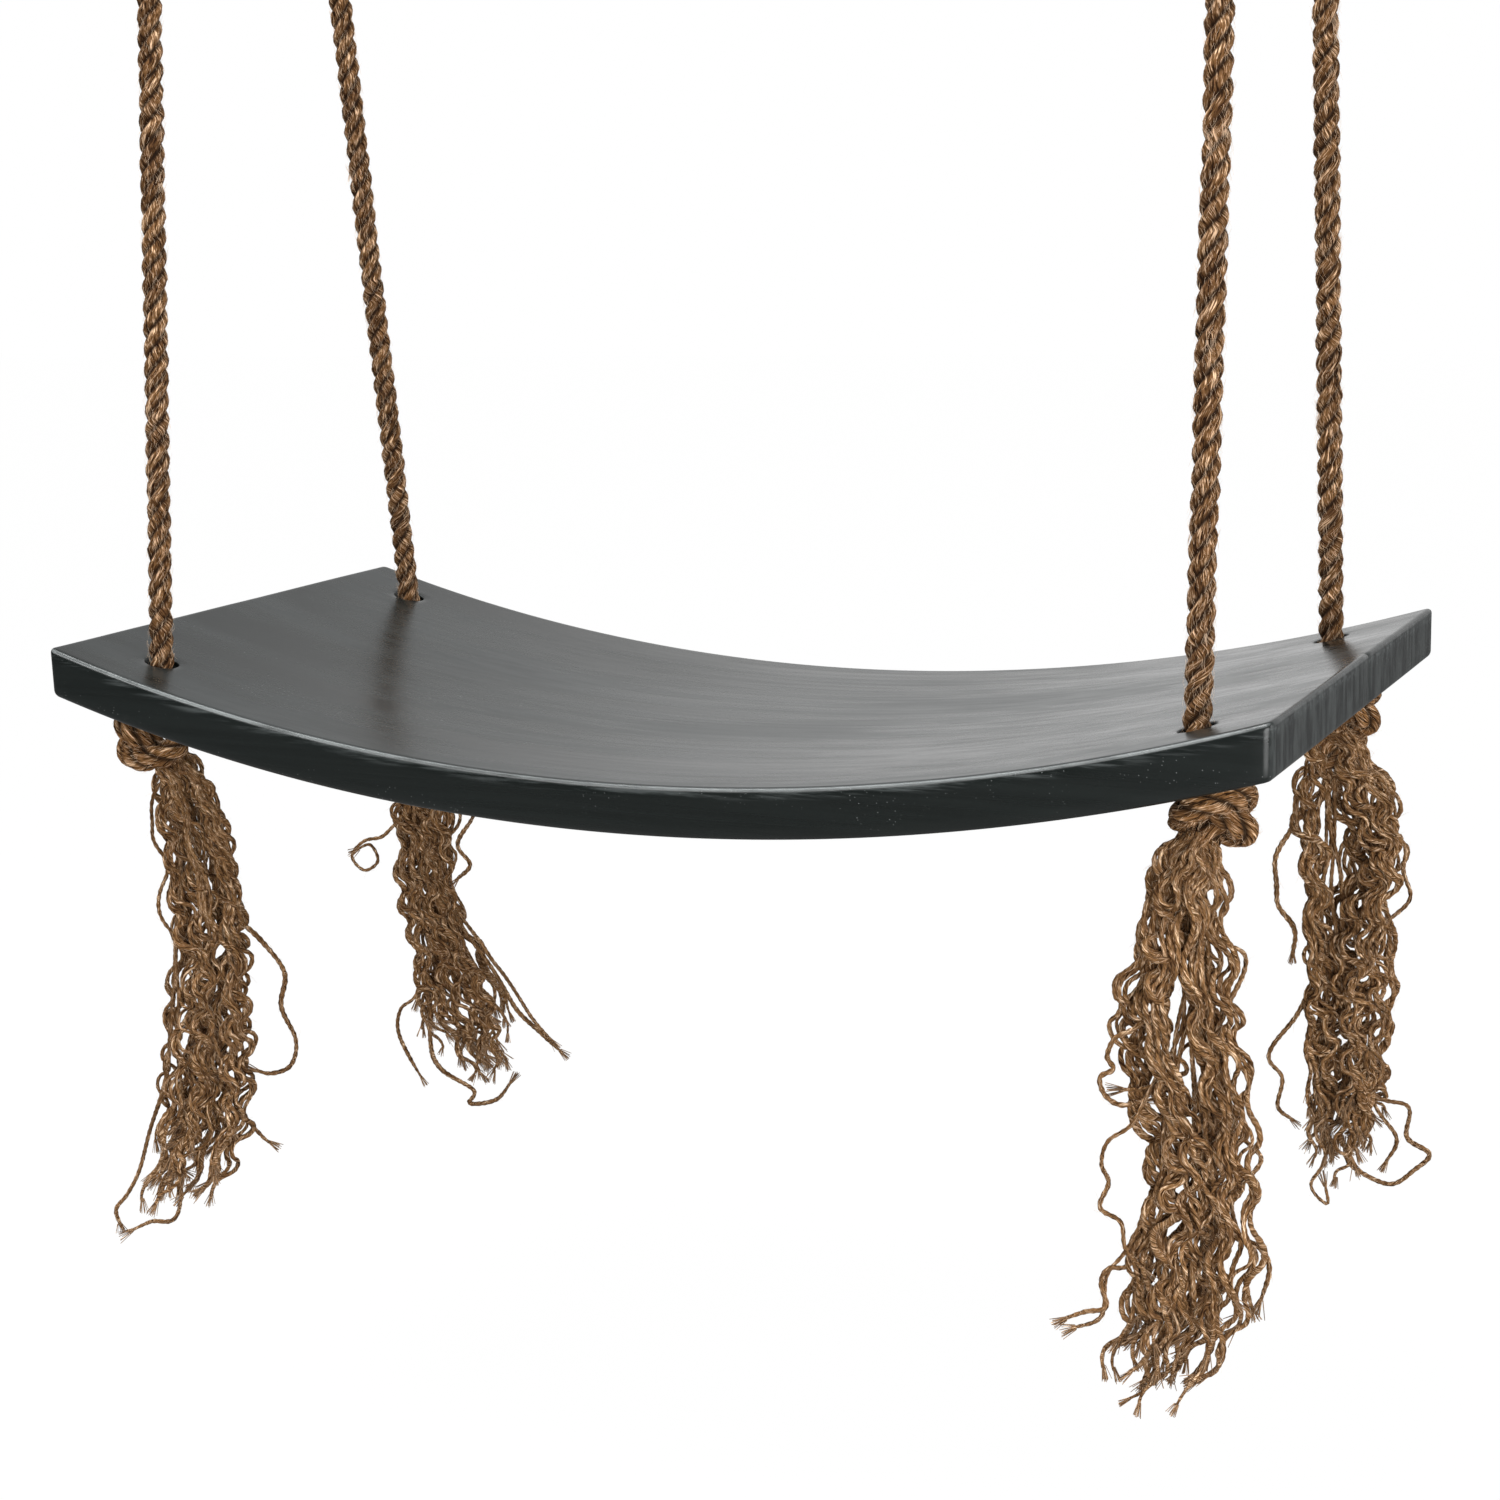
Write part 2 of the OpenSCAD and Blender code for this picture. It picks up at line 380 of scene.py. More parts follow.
def add_rope(builder, path, radius, lay=ROPE_LAY, start_turn=0.0):
    rings, fibre, crease = laid_rings(path, radius, lay, start_turn)
    builder.grid(rings, fibre=fibre, crease=crease)
    return rings


def hair_roots(path, rings, part=slice(None)):
    """A rope's surface as flat lists: its points, the way out at each, and the way along the rope."""
    outward = unit(rings - path[:, None])
    along = unit(np.gradient(path, axis=0))[:, None] + 0 * rings
    return [v[part].reshape(-1, 3) for v in (rings, outward, along)]


def add_fuzz(builder, rng, roots, outward, along, count, reach, thickness):
    """Loose fibres that stand off a surface: thin curled hairs rooted at some of its points."""
    pick = rng.integers(0, len(roots), count)
    root, out, run = roots[pick], outward[pick], along[pick]
    run = run * rng.choice([-1, 1], count)[:, None]
    side = np.cross(run, out)
    length = reach * rng.uniform(0.5, 1.0, count)[:, None]
    lift = rng.uniform(0.15, 0.8, count)[:, None]
    bend = rng.uniform(-0.7, 0.7, count)[:, None]
    steps = np.linspace(0, 1, 6)
    hairs = np.stack(
        [
            root
            + length * t * run
            + length * lift * (t - 0.35 * t**2) * 0.6 * out
            + length * bend * t**2 * side
            - 0.0002 * (1 - t) * out
            for t in steps
        ],
        1,
    )
    radii = thickness * rng.uniform(0.7, 1.2, count)[:, None] * (1 - 0.75 * steps)[None]
    builder.tubes(hairs, radii, 3, seed_row=0.5, pale=0.8)


# ---------------------------------------------------------------- materials


def node(tree, kind, inputs=None, **settings):
    """Adds a shader node. An input is a value, or a socket to link from."""
    made = tree.nodes.new(kind)
    for name, value in settings.items():
        setattr(made, name, value)
    for key, value in (inputs or {}).items():
        if isinstance(value, bpy.types.NodeSocket):
            tree.links.new(value, made.inputs[key])
        else:
            made.inputs[key].default_value = value
    return made


def math_node(tree, operation, a, b=0.0):
    return node(tree, "ShaderNodeMath", {0: a, 1: b}, operation=operation).outputs[0]


def times(tree, a, b):
    return math_node(tree, "MULTIPLY", a, b)


def plus(tree, a, b):
    return math_node(tree, "ADD", a, b)


def mix_colour(tree, share, a, b, blend="MIX"):
    made = node(tree, "ShaderNodeMix", {0: share, 6: a, 7: b}, data_type="RGBA", blend_type=blend)
    return made.outputs[2]


def spread(tree, value, low, high, to_low=0.0, to_high=1.0):
    made = node(
        tree,
        "ShaderNodeMapRange",
        {"Value": value, "From Min": low, "From Max": high, "To Min": to_low, "To Max": to_high},
        interpolation_type="SMOOTHSTEP",
    )
    return made.outputs["Result"]


def stretched_noise(tree, vector, scale, size=1.0, detail=3.0, rough=0.55):
    mapped = node(tree, "ShaderNodeMapping", {"Vector": vector, "Scale": scale})
    made = node(
        tree,
        "ShaderNodeTexNoise",
        {"Vector": mapped.outputs[0], "Scale": size, "Detail": detail, "Roughness": rough},
    )
    return made.outputs["Fac"]


def new_group(name, inputs, outputs):
    tree = bpy.data.node_groups.new(name, "ShaderNodeTree")
    for label, kind, value in inputs:
        socket = tree.interface.new_socket(label, in_out="INPUT", socket_type=kind)
        if value is not None:
            socket.default_value = value
    for label, kind in outputs:
        tree.interface.new_socket(label, in_out="OUTPUT", socket_type=kind)
    return tree, tree.nodes.new("NodeGroupInput").outputs, tree.nodes.new("NodeGroupOutput").inputs


COLOUR, FLOAT, VECTOR = "NodeSocketColor", "NodeSocketFloat", "NodeSocketVector"


def make_fibre_group():
    """Plant fibre: fine streaks along the yarn, patches of tint, and painted shade in the hollows."""
    tree, given, out = new_group(
        "plant fibre",
        [
            ("Along Fibre", VECTOR, None),
            ("Hollow", FLOAT, 0.0),
            ("Dark", COLOUR, (0.05, 0.03, 0.02, 1)),
            ("Middle", COLOUR, (0.2, 0.12, 0.07, 1)),
            ("Light", COLOUR, (0.5, 0.36, 0.24, 1)),
        ],
        [("Color", COLOUR), ("Roughness", FLOAT), ("Height", FLOAT)],
    )
    where = given["Along Fibre"]
    fine = stretched_noise(tree, where, (200, 1400, 900), detail=2.0)
    coarse = stretched_noise(tree, where, (75, 520, 700), detail=2.0)
    patch = stretched_noise(tree, where, (28, 90, 500), detail=1.0)
    streak = plus(tree, times(tree, fine, 0.55), times(tree, coarse, 0.45))
    low = mix_colour(tree, spread(tree, streak, 0.39, 0.52), given["Dark"], given["Middle"])
    full = mix_colour(tree, spread(tree, streak, 0.53, 0.65), low, given["Light"])
    tint = mix_colour(tree, spread(tree, patch, 0.3, 0.7), (0.66, 0.60, 0.54, 1), (1.24, 1.19, 1.10, 1))
    tinted = mix_colour(tree, 1.0, full, tint, "MULTIPLY")
    # painted shade: the colour goes towards Dark where the crease value is high, in the grooves and hollows
    shade = spread(tree, given["Hollow"], 0.25, 1.0)
    shaded = mix_colour(tree, times(tree, shade, 0.85), tinted, given["Dark"])
    pale = spread(tree, given["Hollow"], -0.1, -1.0)
    tree.links.new(mix_colour(tree, pale, shaded, given["Light"]), out["Color"])
    tree.links.new(spread(tree, streak, 0.3, 0.7, 0.95, 0.72), out["Roughness"])
    tree.links.new(streak, out["Height"])
    return tree


def make_grime_group():
    """Handling marks: soft cloudy patches, small pits, and specks of dust."""
    tree, given, out = new_group(
        "handling marks",
        [("Place", VECTOR, None), ("Size", FLOAT, 1.0)],
        [("Clouds", FLOAT), ("Pits", FLOAT), ("Dust", FLOAT)],
    )
    place = node(tree, "ShaderNodeVectorMath", {0: given["Place"], "Scale": given["Size"]}, operation="SCALE")
    where = place.outputs[0]
    clouds = stretched_noise(tree, where, (5, 9, 9), detail=4.0)
    spots = node(tree, "ShaderNodeTexVoronoi", {"Vector": where, "Scale": 95.0, "Randomness": 1.0})
    some = stretched_noise(tree, where, (38, 38, 38), detail=0.0)
    pits = times(tree, spread(tree, spots.outputs["Distance"], 0.13, 0.03), spread(tree, some, 0.58, 0.68))
    specks = node(tree, "ShaderNodeTexVoronoi", {"Vector": where, "Scale": 330.0, "Randomness": 1.0})
    thin = stretched_noise(tree, where, (16, 16, 40), detail=2.0)
    dust = times(tree, spread(tree, specks.outputs["Distance"], 0.17, 0.05), spread(tree, thin, 0.52, 0.66))
    tree.links.new(clouds, out["Clouds"])
    tree.links.new(pits, out["Pits"])
    tree.links.new(dust, out["Dust"])
    return tree


FIBRE = make_fibre_group()
GRIME = make_grime_group()


def new_material(name):
    made = bpy.data.materials.new(name)
    made.use_nodes = True
    tree = made.node_tree
    return made, tree, tree.nodes["Principled BSDF"]


def use_group(tree, group, inputs):
    return node(tree, "ShaderNodeGroup", inputs, node_tree=group).outputs


def fibre_material(name, dark, middle, light, bump):
    made, tree, shader = new_material(name)
    fibre = node(tree, "ShaderNodeAttribute", attribute_name="fibre")
    hollow = node(tree, "ShaderNodeAttribute", attribute_name="crease")
    look = use_group(
        tree,
        FIBRE,
        {
            "Along Fibre": fibre.outputs["Vector"],
            "Hollow": hollow.outputs["Fac"],
            "Dark": dark,
            "Middle": middle,
            "Light": light,
        },
    )
    bumped = node(tree, "ShaderNodeBump", {"Height": look["Height"], "Strength": 0.9, "Distance": bump})
    tree.links.new(look["Color"], shader.inputs["Base Color"])
    tree.links.new(look["Roughness"], shader.inputs["Roughness"])
    tree.links.new(bumped.outputs[0], shader.inputs["Normal"])
    shader.inputs["Specular IOR Level"].default_value = 0.12
    shader.inputs["Sheen Weight"].default_value = 0.04
    shader.inputs["Sheen Roughness"].default_value = 0.5
    shader.inputs["Sheen Tint"].default_value = (0.9, 0.72, 0.52, 1)
    return made


def painted_wood():
    """Charcoal stain rubbed over planed wood: long grain on the faces, short pores on the ends."""
    made, tree, shader = new_material("charcoal stained wood")
    place = node(tree, "ShaderNodeTexCoord").outputs["Object"]
    where = node(tree, "ShaderNodeSeparateXYZ", {0: place})
    facing = node(tree, "ShaderNodeSeparateXYZ", {0: node(tree, "ShaderNodeTexCoord").outputs["Normal"]})
    end = spread(tree, math_node(tree, "ABSOLUTE", facing.outputs["X"]), 0.55, 0.9)
    upward = spread(tree, facing.outputs["Z"], 0.5, 0.9)
    marks = use_group(tree, GRIME, {"Place": place, "Size": 1.0})
    grain = stretched_noise(tree, place, (3.5, 130, 130), detail=5.0, rough=0.6)
    figure = stretched_noise(tree, place, (1.3, 17, 17), detail=3.0)
    pores = stretched_noise(tree, place, (14, 620, 620), detail=2.0)
    end_grain = stretched_noise(tree, place, (90, 190, 22), detail=4.0, rough=0.6)
    streak = mix_colour(tree, end, spread(tree, grain, 0.35, 0.65), spread(tree, end_grain, 0.38, 0.62))
    tone = times(tree, streak, 0.6)
    tone = plus(tree, tone, times(tree, spread(tree, figure, 0.3, 0.7), 0.4))
    body = mix_colour(tree, tone, (0.0018, 0.0038, 0.0032, 1), (0.0052, 0.0084, 0.0076, 1))
    ends = mix_colour(tree, streak, (0.006, 0.008, 0.008, 1), (0.044, 0.050, 0.049, 1))
    colour = mix_colour(tree, end, body, ends)
    # a worn film on top, in long soft streaks
    worn = times(tree, spread(tree, figure, 0.35, 0.68), upward)
    colour = mix_colour(tree, times(tree, worn, 0.45), colour, (0.036, 0.042, 0.043, 1))
    # rubbed smudges just under the top edge
    bowl = times(tree, where.outputs["X"], where.outputs["X"])
    bowl = times(tree, bowl, 0.5 / SEAT_RADIUS)
    below = math_node(tree, "SUBTRACT", plus(tree, bowl, SEAT_TOP), where.outputs["Z"])
    band = times(tree, spread(tree, below, 0.0015, 0.0035), spread(tree, below, 0.0095, 0.0040))
    rubbed = stretched_noise(tree, place, (16, 260, 260), detail=4.0, rough=0.65)
    rubbed = times(tree, spread(tree, rubbed, 0.45, 0.66), band)
    colour = mix_colour(tree, times(tree, rubbed, 0.30), colour, (0.20, 0.22, 0.22, 1))
    # and a painted highlight along that edge, where it rolls over from the top to the front, in broken
    # patches
    rolled = times(tree, facing.outputs["Y"], facing.outputs["Z"])
    rolled = times(tree, spread(tree, rolled, -0.30, -0.46), spread(tree, below, 0.0030, 0.0012))
    highlight_breakup = stretched_noise(tree, place, (9, 60, 60), detail=4.0, rough=0.7)
    edge = times(tree, rolled, spread(tree, highlight_breakup, 0.32, 0.60, 0.25, 1.0))
    colour = mix_colour(tree, times(tree, edge, 0.45), colour, (0.36, 0.39, 0.39, 1))
    colour = mix_colour(tree, times(tree, marks["Dust"], 0.42), colour, (0.40, 0.42, 0.42, 1))
    tree.links.new(colour, shader.inputs["Base Color"])
    gloss = times(tree, spread(tree, grain, 0.3, 0.7), 0.06)
    gloss = plus(tree, gloss, times(tree, marks["Clouds"], 0.12))
    gloss = plus(tree, gloss, times(tree, spread(tree, figure, 0.3, 0.7), 0.08))
    gloss = plus(tree, gloss, times(tree, end, 0.16))
    tree.links.new(plus(tree, gloss, 0.14), shader.inputs["Roughness"])
    height = times(tree, grain, 0.30)
    height = plus(tree, height, times(tree, spread(tree, pores, 0.56, 0.72), -0.25))
    height = plus(tree, height, times(tree, marks["Pits"], -0.9))
    end_pores = times(tree, times(tree, end_grain, end), 0.8)
    height = plus(tree, height, end_pores)
    bump = node(tree, "ShaderNodeBump", {"Height": height, "Strength": 0.16, "Distance": 0.0005})
    tree.links.new(bump.outputs[0], shader.inputs["Normal"])
    shader.inputs["Specular IOR Level"].default_value = 0.5
    return made


def galvanised(name, light, dark, rough):
    """Zinc-coated steel: a patchwork of dull crystals, with pits and dust."""
    made, tree, shader = new_material(name)
    place = node(tree, "ShaderNodeTexCoord").outputs["Object"]
    crystals = node(tree, "ShaderNodeTexVoronoi", {"Vector": place, "Scale": 420.0, "Randomness": 1.0})
    tone = node(tree, "ShaderNodeSeparateXYZ", {0: crystals.outputs["Color"]}).outputs[0]
    marks = use_group(tree, GRIME, {"Place": place, "Size": 3.0})
    colour = mix_colour(tree, tone, dark, light)
    colour = mix_colour(tree, times(tree, marks["Clouds"], 0.35), colour, dark)
    tree.links.new(colour, shader.inputs["Base Color"])
    dull = plus(tree, times(tree, tone, 0.14), times(tree, marks["Clouds"], 0.2))
    tree.links.new(plus(tree, dull, rough), shader.inputs["Roughness"])
    pitted = {"Height": marks["Pits"], "Strength": 0.4, "Distance": 0.0003}
    bump = node(tree, "ShaderNodeBump", pitted, invert=True)
    tree.links.new(bump.outputs[0], shader.inputs["Normal"])
    shader.inputs["Metallic"].default_value = 1.0
    return made


JUTE = fibre_material(
    "laid jute", (0.016, 0.006, 0.002, 1), (0.170, 0.085, 0.034, 1), (0.90, 0.66, 0.46, 1), 0.0011
)
# painted light: the knots use the rope's jute painted lighter, standing in for light that the shade under the
# seat keeps off them
KNOT_JUTE_PAINTED_LIGHTER = fibre_material(
    "jute painted lighter for the knots", (0.020, 0.009, 0.003, 1), (0.270, 0.138, 0.056, 1), (0.98, 0.72, 0.50, 1), 0.0011
)
YARN = fibre_material(
    "unravelled jute yarn", (0.034, 0.013, 0.003, 1), (0.262, 0.142, 0.062, 1), (0.93, 0.71, 0.51, 1), 0.0006
)
TWINE = fibre_material(
    "waxed twine", (0.10, 0.06, 0.03, 1), (0.36, 0.24, 0.13, 1), (0.62, 0.46, 0.28, 1), 0.0002
)
WOOD = painted_wood()
STEEL = galvanised("galvanised steel", (0.66, 0.67, 0.68, 1), (0.36, 0.37, 0.38, 1), 0.26)
THIMBLE = galvanised("rolled steel thimble", (0.60, 0.60, 0.60, 1), (0.30, 0.30, 0.31, 1), 0.34)

# ---------------------------------------------------------------- ropes


def standing_path(corner):
    """The centre of one rope, from inside its splice down through the seat to the top of its knot."""
    hang, down, _ = along_rope(corner)
    mouth = corner_point(MOUTH, corner)
    rng = np.random.default_rng(sum(map(ord, corner)))
    top = hang + down * (crown_drop(corner) + THROAT + 0.012)
    bend = [mouth - 0.02 * down, mouth - 0.02 * Z_AXIS]
    line = smooth_line([top, *bend, mouth - (HOLE_DEPTH + 0.008) * Z_AXIS], 0.00125)
    s = np.linspace(0, 1, len(line))
    for k in (3, 7, 13):
        sway = 0.0011 / k**0.5 * np.sin(s * k * math.pi) * (1 - s) ** 0.3
        aside = rng.uniform(-1, 1) * X_AXIS + rng.uniform(-1, 1) * np.cross(down, X_AXIS)
        line = line + sway[:, None] * aside
    return line


def thick_and_thin(rng, count, amount):
    """Small slow changes in a rope's thickness."""
    rough = rng.normal(0, 1, count // 16 + 3)
    return 1 + amount * np.interp(np.linspace(0, len(rough) - 1, count), np.arange(len(rough)), rough)


def make_rope(corner):
    rng = np.random.default_rng(11 + list(CORNERS).index(corner))
    builder = Builder()
    path = standing_path(corner)
    radius = 0.97 * ROPE_RADIUS * thick_and_thin(rng, len(path), 0.018)
    rings = add_rope(builder, path, radius, start_turn=rng.uniform(0, TURN))
    flat = hair_roots(path, rings, slice(BARE_TOP, len(path) - BARE_END))
    add_fuzz(builder, rng, *flat, *HAIRS["rope"])
    for _ in range(ROPE_TUFTS):
        k = rng.integers(3, len(flat[0]) - 3)
        add_fuzz(builder, rng, *(v[k - 3 : k + 3] for v in flat), *HAIRS["tuft"])
    rope = builder.piece("hanging_rope_" + corner, JUTE)
    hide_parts("rope_" + corner)
    _, down, _ = along_rope(corner)
    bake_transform(rope)
    return rope, path


ROPES = {corner: make_rope(corner) for corner in CORNERS}

# ---------------------------------------------------------------- knots


def tightened_knot():
    """Pulls a loose overhand knot nearly tight: the rope keeps its length and can't pass through itself."""
    spacing, scale = 0.0040, 0.0120
    t = np.linspace(math.pi + 0.12, 3 * math.pi - 0.12, 400)
    x = np.sin(t) + 2 * np.sin(2 * t)
    y = np.cos(t) - 2 * np.cos(2 * t)
    loop = np.column_stack([x, y, -1.15 * np.sin(3 * t)])
    first = [(4.4, -4.6, 0), (2, -4.5, 0), (0.7, -4.1, 0), (0.25, -3.5, 0)]
    last = [(-x, y, z) for x, y, z in first[::-1]]
    line = resample(np.vstack([first, loop, last]) * scale, spacing)
    count = len(line)
    apart = np.abs(np.subtract.outer(np.arange(count), np.arange(count)))
    others = apart > math.ceil(math.pi * KNOT_CONTACT / 2 / spacing)
    start, stop = line[0].copy(), line[-1].copy()
    reach = (count - 1) * spacing - KNOT_LENGTH
    for step in range(KNOT_STEPS):
        share = min(1.0, 1.25 * step / KNOT_STEPS)
        half = start[0] + share * (reach / 2 - start[0])
        for _ in range(6):
            gap = line[:, None] - line[None]
            far = np.sqrt((gap * gap).sum(2)) + np.eye(count)
            press = np.where(others & (far < KNOT_CONTACT), (KNOT_CONTACT - far) / far, 0)
            line = line + 0.35 * (press[..., None] * gap).sum(1)
            line[1:-1] += 0.05 * (line[:-2] + line[2:] - 2 * line[1:-1])
            for parity in (0, 1):
                a, b = line[parity:-1:2], line[parity + 1 :: 2]
                d = b - a
                size = np.linalg.norm(d, axis=1, keepdims=True)
                fix = 0.5 * (size - spacing) / size * d
                line[parity:-1:2] += fix
                line[parity + 1 :: 2] -= fix
            line[0] = (half, (1 - share) * start[1], 0)
            line[-1] = (-half, (1 - share) * stop[1], 0)
    return line * (KNOT_SQUASH, KNOT_SPREAD, KNOT_SPREAD)


KNOT_LINE = tightened_knot()


def knot_path(corner):
    """The knot's line stood upright under its hole: it enters at the top and leaves at the bottom."""
    sx, _ = CORNERS[corner]
    legs = np.abs(np.abs(KNOT_LINE[:, 0]) - 0.030) < 0.005
    middle = KNOT_LINE - (0, *KNOT_LINE[legs, 1:].mean(0))
    upright = middle[:, [1, 2, 0]]
    turn = math.radians(KNOT_TURNS[corner])
    c, s = math.cos(turn), math.sin(turn)
    upright = upright @ np.array([[c, s, 0], [-s, c, 0], [0, 0, 1]])
    off_axis = np.linalg.norm(upright[:, :2], axis=1)
    body = upright[off_axis > ROPE_RADIUS]
    mouth = corner_point(MOUTH, corner)
    plane = body[:, 2] - sx * math.tan(HOLE_SLOPE) * body[:, 0]
    lift = HOLE_DEPTH + 0.0005 + KNOT_ROPE_RADIUS / math.cos(HOLE_SLOPE) + plane.max()
    leg = np.clip((np.abs(middle[:, 0]) - 0.018) / 0.012, 0, 1)[:, None]
    line = upright * (1 - leg * (1, 1, 0)) + mouth - lift * Z_AXIS
    keep = (line[:, 2] < mouth[2] - HOLE_DEPTH + 0.012) & (line[:, 2] > mouth[2] - KNOT_TAIL)
    return smooth_line(line[keep], 0.0013)


def make_knot(corner):
    rng = np.random.default_rng(31 + list(CORNERS).index(corner))
    builder = Builder()
    path = knot_path(corner)
    ends = np.minimum(np.arange(len(path)), np.arange(len(path))[::-1])
    radius = KNOT_ROPE_RADIUS * (0.86 + 0.14 * np.clip(ends / 9, 0, 1))
    radius = radius * thick_and_thin(rng, len(path), 0.012)
    rings = add_rope(builder, path, radius, start_turn=rng.uniform(0, TURN))
    flat = hair_roots(path, rings)
    add_fuzz(builder, rng, *flat, *HAIRS["knot"])
    knot = builder.piece("overhand_knot_" + corner, KNOT_JUTE_PAINTED_LIGHTER)
    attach(knot, "seat")
    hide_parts("knot_" + corner)
    return knot, path


KNOTS = {corner: make_knot(corner) for corner in CORNERS}

# ---------------------------------------------------------------- eye splices, whippings and thimbles


def to_rope_frame(corner, across, down_by, sideways=0.0):
    """Points given across and down from an eye's crown, on one rope."""
    hang, down, back = along_rope(corner)
    crown = hang + crown_drop(corner) * down
    return (
        crown
        + np.asarray(across)[..., None] * back
        + np.asarray(down_by)[..., None] * down
        + np.asarray(sideways)[..., None] * X_AXIS
    )


def teardrop(radius, leg, steps):
    """The eye's path, as distances across and down from its crown, with the outward angle."""
    angle = np.linspace(-EYE_HALF_ANGLE, math.pi + EYE_HALF_ANGLE, steps)
    across, up = radius * np.cos(angle), radius * np.sin(angle)
    run = np.linspace(leg, 0, steps // 3, endpoint=False)
    side = radius * math.cos(EYE_HALF_ANGLE) - run * math.sin(EYE_HALF_ANGLE)
    low = -radius * math.sin(EYE_HALF_ANGLE) - run * math.cos(EYE_HALF_ANGLE)
    return (
        np.concatenate([side, across, -side[::-1]]),
        -np.concatenate([low, up, low[::-1]]),
        np.concatenate([angle[0] + 0 * run, angle, angle[-1] + 0 * run]),
    )


def make_splice(corner):
    """The rope's eye round its thimble, and the strands of its end tucked back into it."""
    rng = np.random.default_rng(51 + list(CORNERS).index(corner))
    builder = Builder()
    across, down_by, _ = teardrop(EYE_RADIUS, EYE_LEG, 48)
    in_splice = THROAT + 0.026
    across = np.concatenate([[0.003, 0.0055], across, [-0.0055, -0.003]])
    down_by = np.concatenate([[in_splice, THROAT + 0.013], down_by, [THROAT + 0.013, in_splice]])
    path = smooth_line(to_rope_frame(corner, across, down_by), 0.0013)
    rings = add_rope(builder, path, 0.965 * ROPE_RADIUS, start_turn=rng.uniform(0, TURN))
    steps = 150
    s = np.linspace(0, SPLICE_LENGTH, steps)
    thin = np.clip((s - 0.045) / (SPLICE_LENGTH - 0.045), 0, 1)
    strands = []
    for k in range(3):
        turn = -TURN * s / 0.066 + TURN * k / 3
        over = np.cos(1.5 * (turn - TURN * s / ROPE_LAY))
        reach = (0.0082 - 0.0012 * thin) + (0.0026 - 0.0008 * thin) * over
        strands.append(
            to_rope_frame(corner, reach * np.cos(turn), THROAT - 0.004 + s, reach * np.sin(turn))
        )
    radii = np.broadcast_to(0.0036 - 0.0019 * thin, (3, steps))
    builder.tubes(np.array(strands), radii, 12, seed_row=0.2)
    flat = hair_roots(path, rings)
    add_fuzz(builder, rng, *flat, *HAIRS["splice"])
    splice = builder.piece("eye_splice_" + corner, JUTE)
    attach(splice, "rope_" + corner)


def make_whipping(corner):
    """Waxed twine wound tightly round the splice, its two ends drawn under the turns."""
    builder = Builder()
    turns = (WHIPPING_LENGTH - 2 * TWINE_RADIUS) / (2 * TWINE_RADIUS)
    a = np.linspace(0, TURN * turns, round(26 * turns))
    tuck = np.clip(np.minimum(a, a[::-1]) / 1.2, 0, 1)
    reach = SPLICE_RADIUS + TWINE_RADIUS * (0.2 + 0.9 * tuck)
    low = THROAT + WHIPPING_DOWN - TWINE_RADIUS
    path = to_rope_frame(corner, reach * np.cos(a), low - 2 * TWINE_RADIUS * a / TURN, reach * np.sin(a))
    builder.tubes(path[None], np.full((1, len(a)), TWINE_RADIUS), 8, ply=0.1, ply_turn=0.004)
    whipping = builder.piece("twine_whipping_" + corner, TWINE)
    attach(whipping, "rope_" + corner)
    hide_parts("whipping_" + corner)


def make_thimble(corner):
    """A rolled steel channel bent to a teardrop, with rounded lips."""
    inner, wall = ROPE_RADIUS + THIMBLE_PLAY, THIMBLE_WALL
    outer, lip = inner + wall, wall / 2
    sweep = np.radians(np.arange(-CHANNEL_HALF_ANGLE, CHANNEL_HALF_ANGLE + 1, 9))
    face = [(-outer * math.cos(a), outer * math.sin(a)) for a in sweep]
    bed = [(-inner * math.cos(a), inner * math.sin(a)) for a in sweep[::-1]]
    middle = inner + lip
    section = []
    for points, sign in ((face, 1), (bed, -1)):
        section += points
        turn = sign * math.radians(CHANNEL_HALF_ANGLE)
        for b in np.radians([45, 90, 135]):
            out = np.array([-math.cos(turn), math.sin(turn)])
            along = np.array([math.sin(turn), math.cos(turn)]) * sign
            centre = middle * out
            section.append(tuple(centre + lip * (sign * math.cos(b) * out + math.sin(b) * along)))
    section = np.array(section)
    across, down_by, angle = teardrop(EYE_RADIUS, THIMBLE_LEG, 60)
    builder = Builder()
    side = across[:, None] + section[None, :, 0] * np.cos(angle)[:, None]
    low = down_by[:, None] - section[None, :, 0] * np.sin(angle)[:, None]
    rings = to_rope_frame(corner, side, low, section[None, :, 1] + 0 * side)
    builder.grid(rings)
    thimble = builder.piece("steel_thimble_" + corner, THIMBLE, 50)
    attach(thimble, "rope_" + corner)
    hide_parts("thimble_" + corner)


def lathe(profile, steps):
    """Rings round Z through (radius, height) points, from the top down."""
    a = np.arange(steps) * TURN / steps
    return np.array([[(r * math.cos(b), r * math.sin(b), z) for b in a] for r, z in profile])


